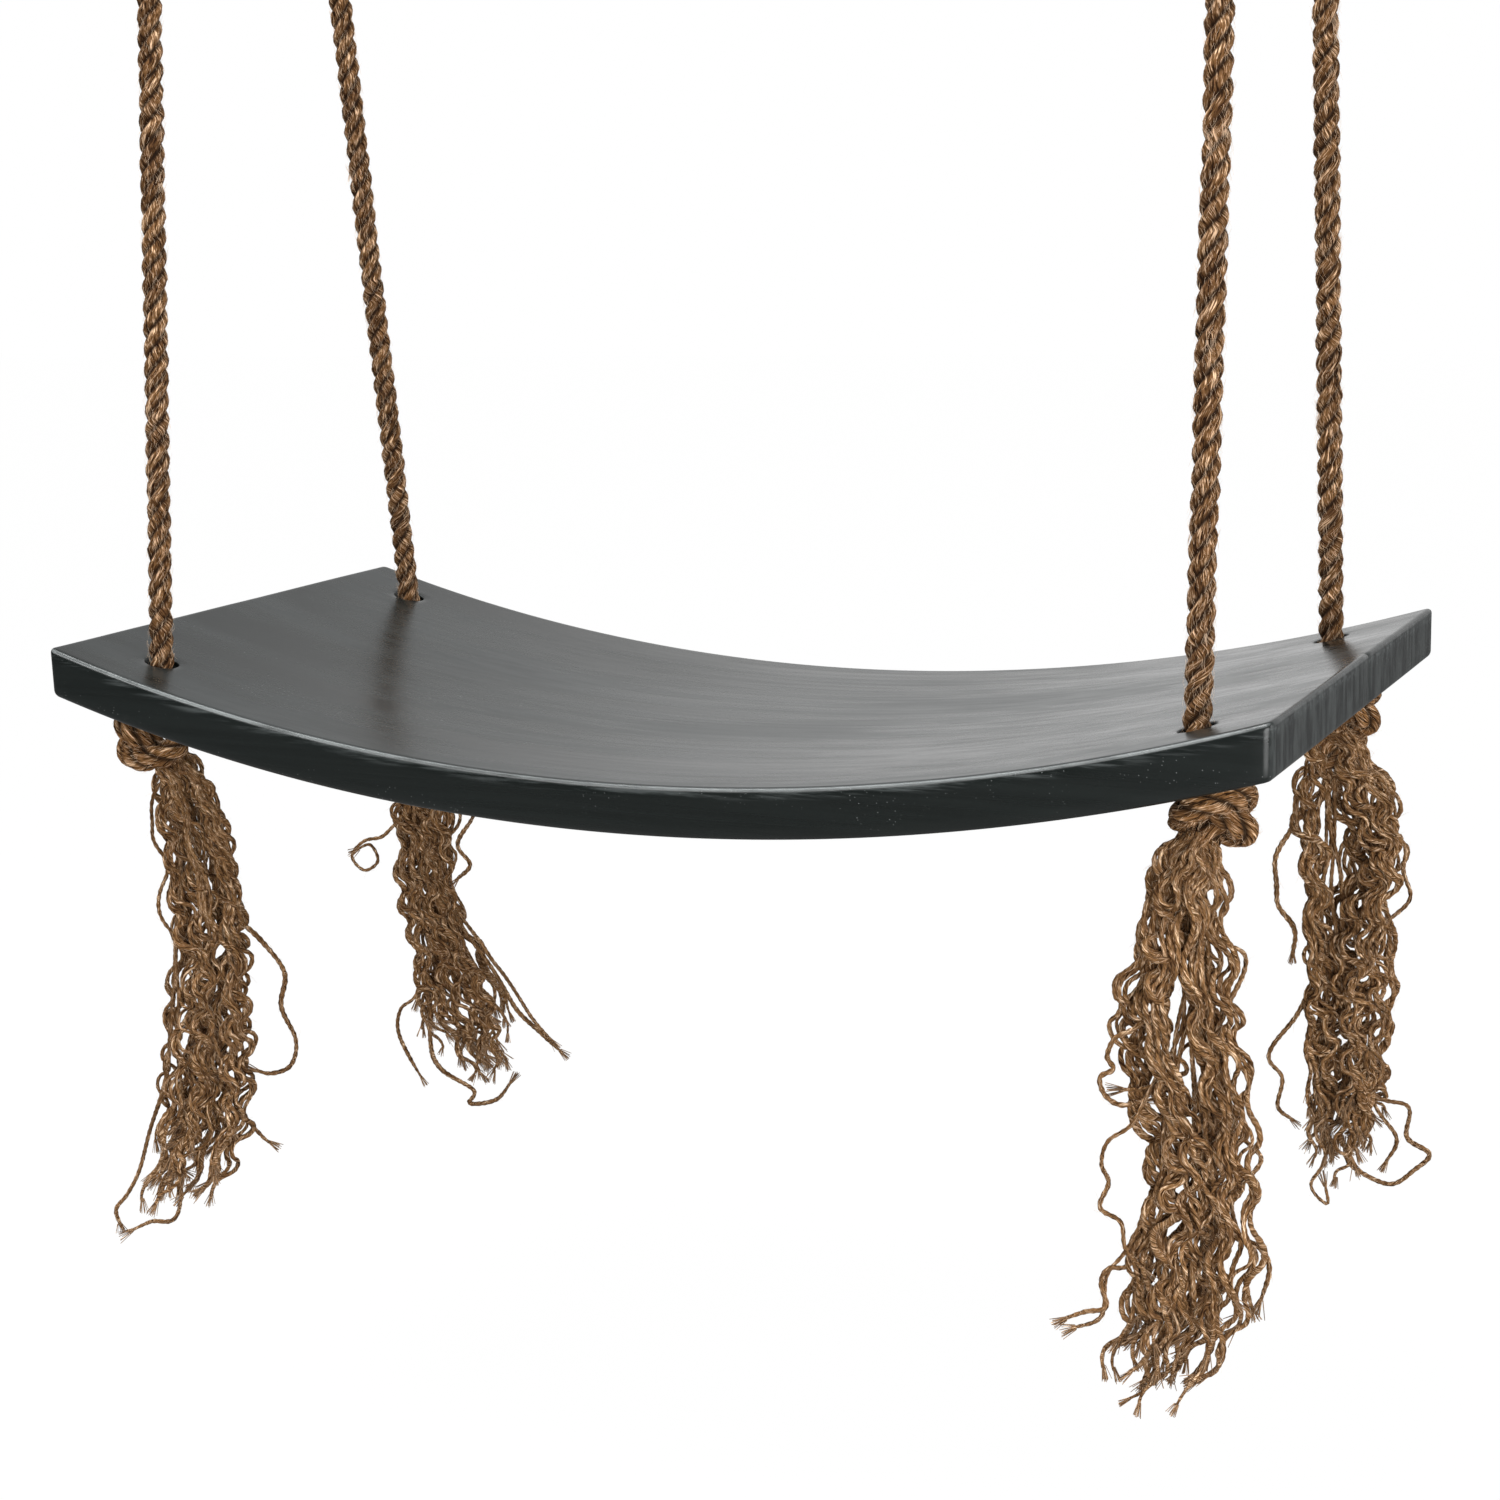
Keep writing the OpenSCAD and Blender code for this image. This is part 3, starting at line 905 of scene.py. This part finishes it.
def make_eye_bolt(corner):
    """A forged eye with a shoulder, and a rolled thread up its shank."""
    sx, sy = CORNERS[corner]
    place = np.array([sx * abs(HANG.x), sy * abs(HANG.y), 0])
    ring_z = HANG.z + RING_RADIUS
    builder = Builder()
    a = np.linspace(0, TURN, 96, endpoint=False)
    b = np.linspace(0, TURN, 24, endpoint=False)
    reach = RING_RADIUS + WIRE_RADIUS * np.cos(b)[None]
    ring = np.stack(
        [
            reach * np.cos(a)[:, None],
            np.broadcast_to(-WIRE_RADIUS * np.sin(b), (len(a), len(b))),
            ring_z + reach * np.sin(a)[:, None],
        ],
        -1,
    )
    builder.grid(place + ring, closed=True)
    shoulder, under = 2 * SHANK_RADIUS, SHOULDER_TOP - SHOULDER_HEIGHT
    core = SHANK_RADIUS - THREAD_DEPTH
    rim = 0.0012
    profile = [
        (0.4 * core, SHANK_LENGTH),
        (0.55 * core, SHANK_LENGTH - 0.0006),
        (core, SHANK_LENGTH - 0.0045),
        (core, SHOULDER_TOP + 0.0006),
        (shoulder - rim, SHOULDER_TOP),
        (shoulder - 0.3 * rim, SHOULDER_TOP - 0.3 * rim),
        (shoulder, SHOULDER_TOP - rim),
        (shoulder, under + 2 * rim),
        (shoulder - 0.6 * rim, under + 0.6 * rim),
        (shoulder - 2 * rim, under),
        (0.6 * shoulder, under - 0.0012),
        (0.5 * shoulder, under - 0.0030),
    ]
    builder.grid(place + lathe(profile, 40)[:, ::-1])
    turns = (SHANK_LENGTH - 0.004 - SHOULDER_TOP) / THREAD_PITCH - 1
    t = np.linspace(0, TURN * turns, round(28 * turns))
    fade = np.clip(np.minimum(t, t[::-1]) / TURN, 0, 1)
    base, crest = core - 0.0003, core + 0.00085 * fade
    rise = SHOULDER_TOP + THREAD_PITCH * (0.6 + t / TURN)
    rows = []
    for r, dz in ((base + 0 * t, -0.48), (crest, -0.09), (crest, 0.09), (base + 0 * t, 0.48)):
        rows.append(np.column_stack([r * np.cos(t), r * np.sin(t), rise + dz * THREAD_PITCH]))
    builder.grid(place + np.stack(rows, 1))
    bolt = builder.piece("forged_eye_bolt_" + corner, STEEL, 32)
    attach(bolt, "root")
    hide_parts("eye_bolt_" + corner)


for corner in CORNERS:
    make_splice(corner)
    make_whipping(corner)
    make_thimble(corner)
    make_eye_bolt(corner)

washers = frame["nodes"]["bolt_washers"]
washers.data.materials.clear()
washers.data.materials.append(STEEL)

# ---------------------------------------------------------------- tassels

# shape: at each share of the length, how far the bunch leans sideways and how wide it is, in mm
# parting: where the bunch opens, across it and down it, and how far
# loose: yarns that stand clear of the bunch, by their places sideways and down from the pivot, in mm
TASSELS = {
    "front_left": {
        "length": 0.360,
        "parting": (-0.45, 0.33, 0.32),
        "shape": [
            (0, 4, 34), (0.08, 10, 46), (0.2, 17, 62), (0.42, 20, 70), (0.62, 16, 74), (0.8, 6, 80),
            (0.9, -8, 76), (1, -26, 46),
        ],
        "loose": [
            [(60, 124), (74, 149), (71, 174), (79, 202), (74, 222), (60, 228), (48, 226)],
            [(-22, 340), (-43, 348), (-59, 355)],
            [(-36, 270), (-48, 303), (-60, 325), (-68, 336), (-66, 352)],
            [(-11, 7), (-17, 40), (-8, 66), (-17, 99), (-6, 118)],
            [(22, 210), (45, 236), (36, 258), (50, 276), (57, 284)],
        ],
    },
    "front_right": {
        "length": 0.377,
        "parting": (0.05, 0.34, 0.32),
        "shape": [
            (0, -1, 38), (0.08, -6, 46), (0.16, -10, 56), (0.3, -12, 66), (0.43, -4, 76), (0.57, 2, 72),
            (0.7, -4, 84), (0.85, -12, 84), (1, -42, 62),
        ],
        "loose": [
            [(-36, 99), (-51, 106), (-55, 119), (-50, 128), (-59, 132), (-57, 144), (-47, 150), (-30, 148)],
            [(-38, 160), (-56, 172), (-60, 186), (-54, 200), (-60, 216), (-48, 227), (-45, 243), (-31, 259)],
            [(-38, 252), (-56, 255), (-61, 266), (-58, 280), (-70, 284), (-84, 289)],
            [(-40, 240), (-57, 262), (-60, 289), (-78, 295)],
            [(22, 160), (31, 176), (40, 189), (31, 202), (20, 213)],
            [(19, 230), (36, 241), (43, 257), (39, 280)],
            [(26, 234), (36, 250), (30, 266), (36, 288)],
            [(30, 60), (14, 100), (-6, 116), (-13, 130), (-29, 140), (-47, 141)],
            [(-10, 280), (8, 303), (6, 317), (-2, 330)],
        ],
    },
    "back_left": {
        "length": 0.363,
        "parting": (0.2, 0.75, 0.15),
        "shape": [
            (0, 0, 34), (0.12, 0, 46), (0.3, 2, 60), (0.5, 2, 58), (0.62, 8, 60), (0.73, 18, 78),
            (0.85, 26, 98), (1, 40, 84),
        ],
        "loose": [
            [(-31, 117), (-51, 123), (-61, 136), (-51, 148), (-40, 140), (-45, 126), (-57, 131)],
            [(35, 85), (45, 99), (31, 127), (39, 146), (27, 160)],
            [(50, 225), (66, 248), (84, 283), (105, 306)],
            [(60, 250), (74, 279), (94, 302), (111, 318)],
            [(-12, 258), (-27, 273), (-31, 298), (-12, 337)],
            [(-4, 302), (4, 330), (31, 349), (26, 362), (51, 359), (66, 343)],
        ],
    },
    "back_right": {
        "length": 0.337,
        "parting": (-0.38, 0.29, 0.95),
        "shape": [
            (0, 2, 36), (0.06, 8, 50), (0.15, 15, 84), (0.36, 12, 64), (0.6, 15, 86), (0.78, 16, 84),
            (0.9, 12, 66), (1, 10, 60),
        ],
        "loose": [
            [(-20, 40), (-36, 72), (-36, 104), (-25, 125), (-23, 149)],
            [(50, 60), (54, 83), (58, 104), (44, 122)],
            [(33, 250), (60, 264), (61, 288), (78, 301), (66, 313), (47, 324), (20, 308), (15, 290)],
            [(36, 262), (52, 288), (45, 308)],
            [(-22, 190), (-41, 221), (-33, 238), (-36, 259), (-22, 272)],
            [(2, 300), (-10, 324), (4, 340), (3, 324)],
        ],
    },
}
LOCKS = 14
YARNS_PER_LOCK = 4
YARN_RADIUS = 0.00158
YARN_POINTS = 200
YARN_START = 0.0225
WAVE_SIZE = 0.0043
TIP_HAIRS = 16
WAVE_LENGTHS = (0.028, 0.041)
PARTING_SPAN = 0.11
NECK_RADIUS = 0.0105
NECK_SHARE = 0.036


def slow_wander(rng, count, knots, amount):
    """One smooth random path a row, with a few turning points."""
    raw = rng.normal(0, amount, (count, knots))
    at = np.linspace(0, knots - 1, YARN_POINTS)
    low = np.clip(np.floor(at).astype(int), 0, knots - 2)
    part = at - low
    part = part * part * (3 - 2 * part)
    return raw[:, low] * (1 - part) + raw[:, low + 1] * part


def per_yarn(rows):
    return np.repeat(rows, YARNS_PER_LOCK, 0)


def bunch_paths(look, rng):
    """The yarns of a tassel's bunch: locks of a few yarns side by side, that wave together."""
    shape = np.array(look["shape"])
    count = LOCKS * YARNS_PER_LOCK
    order = rng.permutation(LOCKS)
    across = per_yarn(2 * (order + rng.uniform(0.2, 0.8, LOCKS)) / LOCKS - 1)
    depth = per_yarn(rng.uniform(-0.9, 0.9, LOCKS))
    # the yarns in the middle of the bunch hang the lowest
    length = look["length"] * rng.uniform(0.82, 1.0, count) * (1.0 - 0.04 * np.abs(across))
    run = np.linspace(0, 1, YARN_POINTS)[None] * length[:, None]
    t = run / look["length"]
    lean = np.interp(t, shape[:, 0], shape[:, 1]) * 0.001
    half = np.interp(t, shape[:, 0], shape[:, 2]) * 0.0005
    at, middle, strength = look["parting"]
    opened = strength * np.exp(-(((t - middle) / PARTING_SPAN) ** 2))
    u = across[:, None] + np.sign(across - at)[:, None] * (1 - np.abs(across[:, None])) * opened
    u = u + per_yarn(slow_wander(rng, LOCKS, 7, 0.14)) + slow_wander(rng, count, 6, 0.05)
    v = depth[:, None] + per_yarn(slow_wander(rng, LOCKS, 6, 0.2)) + slow_wander(rng, count, 6, 0.05)
    wave = per_yarn(rng.uniform(*WAVE_LENGTHS, LOCKS))[:, None]
    phase = per_yarn(rng.uniform(0, TURN, LOCKS)[:, None] + slow_wander(rng, LOCKS, 8, 0.9))
    phase = phase + slow_wander(rng, count, 9, 0.30)
    size = rng.uniform(0.7, 1.35, LOCKS)[:, None] * (1 + 0.35 * slow_wander(rng, LOCKS, 8, 0.7))
    size = WAVE_SIZE * per_yarn(size)
    size = size * np.clip(t / 0.06, 0, 1) * (1 + 0.15 * slow_wander(rng, count, 9, 1.0))
    tilt = per_yarn(rng.uniform(-0.7, 0.7, LOCKS))[:, None]
    beat = TURN * run / wave + phase
    wide, deep = size * np.cos(beat), 0.6 * size * np.sin(beat)
    row = np.tile(np.arange(YARNS_PER_LOCK) - (YARNS_PER_LOCK - 1) / 2, LOCKS)[:, None]
    ribbon = per_yarn(rng.uniform(-0.8, 0.8, LOCKS)[:, None] + slow_wander(rng, LOCKS, 5, 0.6))
    apart = row * 1.75 * YARN_RADIUS * (1 + 0.3 * slow_wander(rng, count, 8, 0.8))
    side = lean + u * half * 0.76 + wide * np.cos(tilt) - deep * np.sin(tilt) + apart * np.cos(ribbon)
    inward = v * np.minimum(half, 0.028) * 0.85 + wide * np.sin(tilt) + deep * np.cos(tilt)
    inward = inward + apart * np.sin(ribbon)
    start, begin = NECK_RADIUS * np.sqrt(rng.uniform(0, 1, count)), rng.uniform(0, TURN, count)
    hold = np.clip(t / NECK_SHARE, 0, 1)
    hold = hold * hold * (3 - 2 * hold)
    side = side * hold + (1 - hold) * (start * np.cos(begin))[:, None]
    inward = inward * hold + (1 - hold) * (start * np.sin(begin))[:, None]
    rise = YARN_START + 0.003 * rng.uniform(-1, 1, count)[:, None]
    return np.stack([side, inward, rise - run - 0.24 * size * np.sin(2 * beat)], -1)


def loose_path(points, rng):
    """One yarn that leaves the bunch, wanders beside it and may come back."""
    (x0, y0), depth = points[0], rng.uniform(-12, 2)
    line = [(0.002 * rng.uniform(-1, 1), 0.002 * rng.uniform(-1, 1), YARN_START)]
    for share in (0.12, 0.35, 0.6, 0.8):
        bend = 5 * rng.uniform(-1, 1)
        line.append((0.001 * (share**1.5 * x0 * 0.7 + bend), 0.0005 * depth, -0.001 * share * y0))
    for x, y in points:
        line.append((0.001 * x, 0.001 * (depth + 3 * rng.uniform(-1, 1)), -0.001 * y))
    path = smooth_line(line, 0.001)
    path = resample(path, np.linalg.norm(np.diff(path, axis=0), axis=1).sum() / (YARN_POINTS - 1))
    s = np.linspace(0, len(path) * 0.15, len(path))
    return path + 0.0009 * np.column_stack([np.sin(s), np.cos(0.8 * s), 0 * s])


def tassel_paths(corner, rng):
    """Centre lines of all the yarns of one tassel, below the point that it swings on."""
    look = TASSELS[corner]
    loose = np.array([loose_path(points, rng) for points in look["loose"]])
    side, inward, up = np.moveaxis(np.concatenate([bunch_paths(look, rng), loose]), 2, 0)[..., None]
    return np.array(PIVOTS["tassel_sway_" + corner]) + side * SIDEWAYS + inward * INWARD + up * Z_AXIS


def add_frayed_tips(builder, rng, paths):
    """Each yarn's cut end opens into a short blunt brush of fibres."""
    tip = np.repeat(paths[:, -1], TIP_HAIRS, 0)
    ahead = np.repeat(unit(paths[:, -1] - paths[:, -4]), TIP_HAIRS, 0)
    wild = rng.normal(0, 1, tip.shape)
    wild -= (wild * ahead).sum(1, keepdims=True) * ahead
    length = np.repeat(rng.uniform(0.005, 0.009, len(paths)), TIP_HAIRS)[:, None]
    length = length * rng.uniform(0.8, 1.1, (len(tip), 1))
    steps = np.linspace(0, 1, 4)
    hairs = [
        tip + 0.0006 * wild + length * (s * ahead + 0.22 * s * wild) - 0.003 * (1 - s) * ahead for s in steps
    ]
    radii = np.broadcast_to(0.00036 * (1 - 0.35 * steps), (len(tip), 4))
    builder.tubes(np.stack(hairs, 1), radii, 4, seed_row=0.7, pale=0.25)


def make_tassel(corner):
    rng = np.random.default_rng(71 + list(CORNERS).index(corner))
    builder = Builder()
    paths = tassel_paths(corner, rng)
    s = np.linspace(0, 1, YARN_POINTS)
    radii = YARN_RADIUS * rng.uniform(0.85, 1.15, (len(paths), 1))
    radii = radii * (1 + 0.12 * slow_wander(rng, len(paths), 14, 0.8))
    radii = radii * np.clip(1.15 - 0.5 * np.clip((s - 0.93) / 0.07, 0, 1), 0.5, 1)
    builder.tubes(paths, radii, 8, ply=0.13, ply_turn=0.011)
    tangent, normal, across = transport(paths)
    a = rng.uniform(0, TURN, paths.shape[:2])[..., None]
    outward = np.cos(a) * normal + np.sin(a) * across
    roots = paths + outward * radii[..., None]
    flat = [v.reshape(-1, 3) for v in (roots, outward, tangent)]
    add_fuzz(builder, rng, *flat, *HAIRS["yarns"])
    add_frayed_tips(builder, rng, paths)
    tassel = builder.piece("unravelled_end_" + corner, YARN)
    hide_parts("tassel_" + corner)
    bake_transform(tassel)


for corner in CORNERS:
    make_tassel(corner)

# ---------------------------------------------------------------- seat boards

SURFACE_WAVE = 0.00035
PATCH_HALF = 0.036
PATCH_CELLS = 8
PATCH_RINGS = 4
GRID_STEP = 0.011
BY_SEAM = 0.0008


def seat_height(x, y, level, drop):
    """Height of the seat at one place: level 1 is its top, 0 its underside; drop goes in from either."""
    centre = SEAT_TOP + SEAT_RADIUS
    top = centre - math.sqrt(SEAT_RADIUS**2 - x * x)
    low = centre - math.sqrt((SEAT_RADIUS + SEAT_THICKNESS) ** 2 - x * x)
    planed = SURFACE_WAVE * noise.noise(Vector((4 * x, 11 * y, 3 * level)))
    if level in (0, 1):
        return (top - drop if level else low + drop) + planed * (1 if level else 0.5)
    return (low + EDGE_ROUND) + (top - low - 2 * EDGE_ROUND) * level


def grid_lines(stops, patch):
    """Lines through all the stops, close enough together, with a fixed number across a patch."""
    lines = []
    for a, b in zip(stops, stops[1:]):
        cells = PATCH_CELLS if (a, b) in patch else max(1, math.ceil((b - a) / GRID_STEP - 1e-6))
        lines += list(np.linspace(a, b, cells, endpoint=False))
    return lines + [stops[-1]]


# where each corner's quarter turn starts, walking round the plan
CORNER_STARTS = {(-1, -1): math.pi, (1, -1): -math.pi / 2, (1, 1): 0.0, (-1, 1): math.pi / 2}


class Board:
    """One board of the seat: a plan of quads, closed over its rounded edges and rope holes."""

    def __init__(self, front, back, hole_y, seam_is_back):
        self.mesh = bmesh.new()
        self.seam_is_back = seam_is_back
        inset = CORNER_RADIUS
        y0 = front + (inset if seam_is_back else 0)
        y1 = back - (0 if seam_is_back else inset)
        by_seam = back - BY_SEAM if seam_is_back else front + BY_SEAM
        x1 = SEAT_HALF_WIDTH - inset
        hole_x = abs(MOUTH.x)
        xs_patch = [(-hole_x - PATCH_HALF, -hole_x + PATCH_HALF), (hole_x - PATCH_HALF, hole_x + PATCH_HALF)]
        ys_patch = [(hole_y - PATCH_HALF, hole_y + PATCH_HALF)]
        xs_stops = [-x1, *xs_patch[0], *xs_patch[1], x1]
        ys_stops = sorted([y0, *ys_patch[0], by_seam, y1])
        self.xs = grid_lines(xs_stops, xs_patch)
        self.ys = grid_lines(ys_stops, ys_patch)
        self.holes = [(x, hole_y) for x in (-hole_x, hole_x)]

    def vert(self, x, y, level, drop=0.0):
        return self.mesh.verts.new((x, y, seat_height(x, y, level, drop)))

    def in_patch(self, x, y):
        return next((h for h in self.holes if max(abs(x - h[0]), abs(y - h[1])) < PATCH_HALF - 1e-6), None)

    def face(self, corners):
        distinct = list(dict.fromkeys(corners))
        if len(distinct) > 2:
            self.mesh.faces.new(distinct)

    def surface(self, level):
        """The top or the underside, with its O-shaped patches round the holes. Returns its loops."""
        grid = {}
        for i, x in enumerate(self.xs):
            for j, y in enumerate(self.ys):
                if not self.in_patch(x, y):
                    grid[i, j] = self.vert(x, y, level)
        for i in range(len(self.xs) - 1):
            for j in range(len(self.ys) - 1):
                middle = ((self.xs[i] + self.xs[i + 1]) / 2, (self.ys[j] + self.ys[j + 1]) / 2)
                if not self.in_patch(*middle):
                    loop = [grid[i, j], grid[i + 1, j], grid[i + 1, j + 1], grid[i, j + 1]]
                    self.face(loop if level else loop[::-1])
        rims = []
        for hx, hy in self.holes:
            i0 = int(np.argmin(np.abs(np.array(self.xs) - (hx - PATCH_HALF))))
            j0 = int(np.argmin(np.abs(np.array(self.ys) - (hy - PATCH_HALF))))
            n = PATCH_CELLS
            walk = [(i0 + k, j0) for k in range(n)] + [(i0 + n, j0 + k) for k in range(n)]
            walk += [(i0 + n - k, j0 + n) for k in range(n)] + [(i0, j0 + n - k) for k in range(n)]
            ring = [grid[w] for w in walk]
            outer = [(self.xs[w[0]], self.ys[w[1]]) for w in walk]
            for k in range(1, PATCH_RINGS + 1):
                share = k / PATCH_RINGS
                inner = []
                for px, py in outer:
                    angle = math.atan2(py - hy, px - hx)
                    reach = HOLE_RADIUS + HOLE_ROUND
                    cx, cy = hx + reach * math.cos(angle), hy + reach * math.sin(angle)
                    inner.append(self.vert(px + (cx - px) * share, py + (cy - py) * share, level))
                self.strip(ring, inner, flip=not level)
                ring = inner
            rims.append([(v, math.atan2(v.co.y - hy, v.co.x - hx), hx, hy) for v in ring])
        return grid, rims

    def strip(self, ring, inner, flip=False):
        n = len(ring)
        for e in range(n):
            f = (e + 1) % n
            loop = [ring[e], ring[f], inner[f], inner[e]]
            self.face(loop[::-1] if flip else loop)

    def outline(self):
        """Grid places round the plan, each with the outward directions that its edge is rolled along."""
        last_x, last_y = len(self.xs) - 1, len(self.ys) - 1
        walk = [(i, 0) for i in range(last_x)] + [(last_x, j) for j in range(last_y)]
        walk += [(i, last_y) for i in range(last_x, 0, -1)] + [(0, j) for j in range(last_y, 0, -1)]
        seam_j = last_y if self.seam_is_back else 0
        found = []
        for i, j in walk:
            out_x = -1 if i == 0 else 1 if i == last_x else 0
            out_y = -1 if j == 0 else 1 if j == last_y else 0
            if j == seam_j:
                found.append(((i, j), (out_x, 0), True))
            elif out_x and out_y:
                start = CORNER_STARTS[out_x, out_y]
                for a in np.linspace(0, math.pi / 2, 6):
                    found.append(((i, j), (math.cos(start + a), math.sin(start + a)), False))
            else:
                found.append(((i, j), (out_x, out_y), False))
        return found

    def close(self):
        top, top_rims = self.surface(1)
        low, low_rims = self.surface(0)
        outline = self.outline()
        bevel = [(CORNER_RADIUS - EDGE_ROUND, 0.0)]
        for a in np.linspace(0, math.pi / 2, 6)[1:]:
            bevel.append((CORNER_RADIUS - EDGE_ROUND * (1 - math.sin(a)), EDGE_ROUND * (1 - math.cos(a))))
        levels = [(1, d, drop) for d, drop in bevel]
        levels += [(f, CORNER_RADIUS, 0.0) for f in (0.8, 0.6, 0.4, 0.2)]
        levels += [(0, d, drop) for d, drop in bevel[::-1]]
        ring = [top[place] for place, _, _ in outline]
        for level, d, drop in levels:
            made = []
            for (i, j), (nx, ny), at_seam in outline:
                x, y = self.xs[i], self.ys[j]
                if at_seam and not nx:
                    flat = {0: low, 1: top}.get(level)
                    made.append(flat[i, j] if flat else self.vert(x, y, level))
                    continue
                reach = d - (SEAM_GROOVE if at_seam else 0)
                made.append(self.vert(x + nx * reach, y + ny * reach, level, drop))
            self.strip(ring, made, flip=True)
            ring = made
        self.strip(ring, [low[place] for place, _, _ in outline], flip=True)
        for above, below in zip(top_rims, low_rims):
            ring = [v for v, _, _, _ in above]
            steps = [(1, math.radians(a)) for a in (30, 60, 90)]
            steps += [(f, math.pi / 2) for f in (0.75, 0.5, 0.25)]
            steps += [(0, math.radians(a)) for a in (90, 60, 30)]
            for level, a in steps:
                reach = HOLE_RADIUS + HOLE_ROUND * (1 - math.sin(a))
                drop = HOLE_ROUND * (1 - math.cos(a))
                made = [
                    self.vert(hx + reach * math.cos(b), hy + reach * math.sin(b), level, drop)
                    for _, b, hx, hy in above
                ]
                self.strip(ring, made)
                ring = made
            self.strip(ring, [v for v, _, _, _ in below])

    def piece(self, name, node_name):
        self.close()
        bmesh.ops.remove_doubles(self.mesh, verts=self.mesh.verts, dist=1e-6)
        mesh = bpy.data.meshes.new(name)
        self.mesh.to_mesh(mesh)
        self.mesh.free()
        mesh.shade_smooth()
        mesh.set_sharp_from_angle(angle=math.radians(38))
        mesh.materials.append(WOOD)
        made = add_object(name, mesh)
        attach(made, "seat")
        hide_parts(node_name)
        return made


HOLE_Y = abs(MOUTH.y)
Board(SEAT_FRONT, SEAM_Y, -HOLE_Y, True).piece("front_plank", "seat_front_board")
Board(SEAM_Y, SEAT_BACK, HOLE_Y, False).piece("back_plank", "seat_back_board")

# ---------------------------------------------------------------- floor and light


def make_floor():
    """A pale floor, nearly as bright to look at as the studio behind it."""
    made, tree, shader = new_material("studio floor")
    place = node(tree, "ShaderNodeTexCoord").outputs["Object"]
    cloudy = stretched_noise(tree, place, (0.6, 0.6, 0.6), detail=2.0)
    grey = mix_colour(tree, cloudy, (0.30, 0.30, 0.30, 1), (0.36, 0.36, 0.36, 1))
    tree.links.new(grey, shader.inputs["Base Color"])
    shader.inputs["Roughness"].default_value = 0.9
    glow = node(tree, "ShaderNodeEmission", {"Color": (1, 1, 1, 1), "Strength": 1.05})
    seen = node(tree, "ShaderNodeLightPath").outputs["Is Camera Ray"]
    share = times(tree, seen, FLOOR_GLOW)
    mixed = node(tree, "ShaderNodeMixShader", {0: share, 1: shader.outputs[0], 2: glow.outputs[0]})
    tree.links.new(mixed.outputs[0], tree.nodes["Material Output"].inputs["Surface"])
    mesh = bpy.data.meshes.new("studio_floor")
    half = FLOOR_SIZE / 2
    z = cad_bounds[0][2] - FLOOR_DROP
    plan = [(-half, -half, z), (half, -half, z), (half, half, z), (-half, half, z)]
    mesh.from_pydata(plan, [], [(0, 1, 2, 3)])
    mesh.materials.append(made)
    floor = add_object("studio_floor", mesh)


def make_world():
    """A white studio to look at; for the light, brighter above and behind."""
    world = bpy.data.worlds.new("studio")
    bpy.context.scene.world = world
    world.use_nodes = True
    tree = world.node_tree
    tree.nodes.clear()
    aim = node(tree, "ShaderNodeSeparateXYZ", {0: node(tree, "ShaderNodeTexCoord").outputs["Generated"]})
    back = spread(tree, aim.outputs["Y"], 0.1, 0.95)
    low = spread(tree, aim.outputs["Z"], 0.46, 0.02, 0.28, 1.0)
    glow = times(tree, back, low)
    sky = spread(tree, aim.outputs["Z"], -0.1, 0.9, 0.10, 0.42)
    lit = plus(tree, glow, sky)
    lamp = node(tree, "ShaderNodeBackground", {"Color": lit, "Strength": 1.0})
    white = node(tree, "ShaderNodeBackground", {"Color": (1, 1, 1, 1), "Strength": 1.0})
    seen = node(tree, "ShaderNodeLightPath").outputs["Is Camera Ray"]
    mixed = node(tree, "ShaderNodeMixShader", {0: seen, 1: lamp.outputs[0], 2: white.outputs[0]})
    node(tree, "ShaderNodeOutputWorld", {"Surface": mixed.outputs[0]})


def make_softbox(name, place, target, size, power):
    data = bpy.data.lights.new(name, "AREA")
    data.shape = "RECTANGLE"
    data.size, data.size_y = size
    data.energy = power
    lamp = add_object(name, data)
    lamp.location = place
    lamp.rotation_euler = (Vector(target) - Vector(place)).to_track_quat("-Z", "Y").to_euler()


make_floor()
make_world()
make_softbox("overhead", (-0.3, -0.5, 1.3), (0, 0, SEAT_TOP), (1.6, 0.7), 42)
make_softbox("front_left", (-1.9, -2.4, 1.2), (0, 0, SEAT_TOP), (1.2, 1.2), 26)
make_softbox("right_side", (2.8, -0.4, 0.1), (0, 0, SEAT_TOP), (1.2, 1.8), 26)
make_softbox("front_fill", (1.8, -2.6, -0.95), (0, 0, SEAT_TOP - 0.1), (2.2, 2.2), 98)
bpy.context.scene.view_settings.view_transform = "Standard"
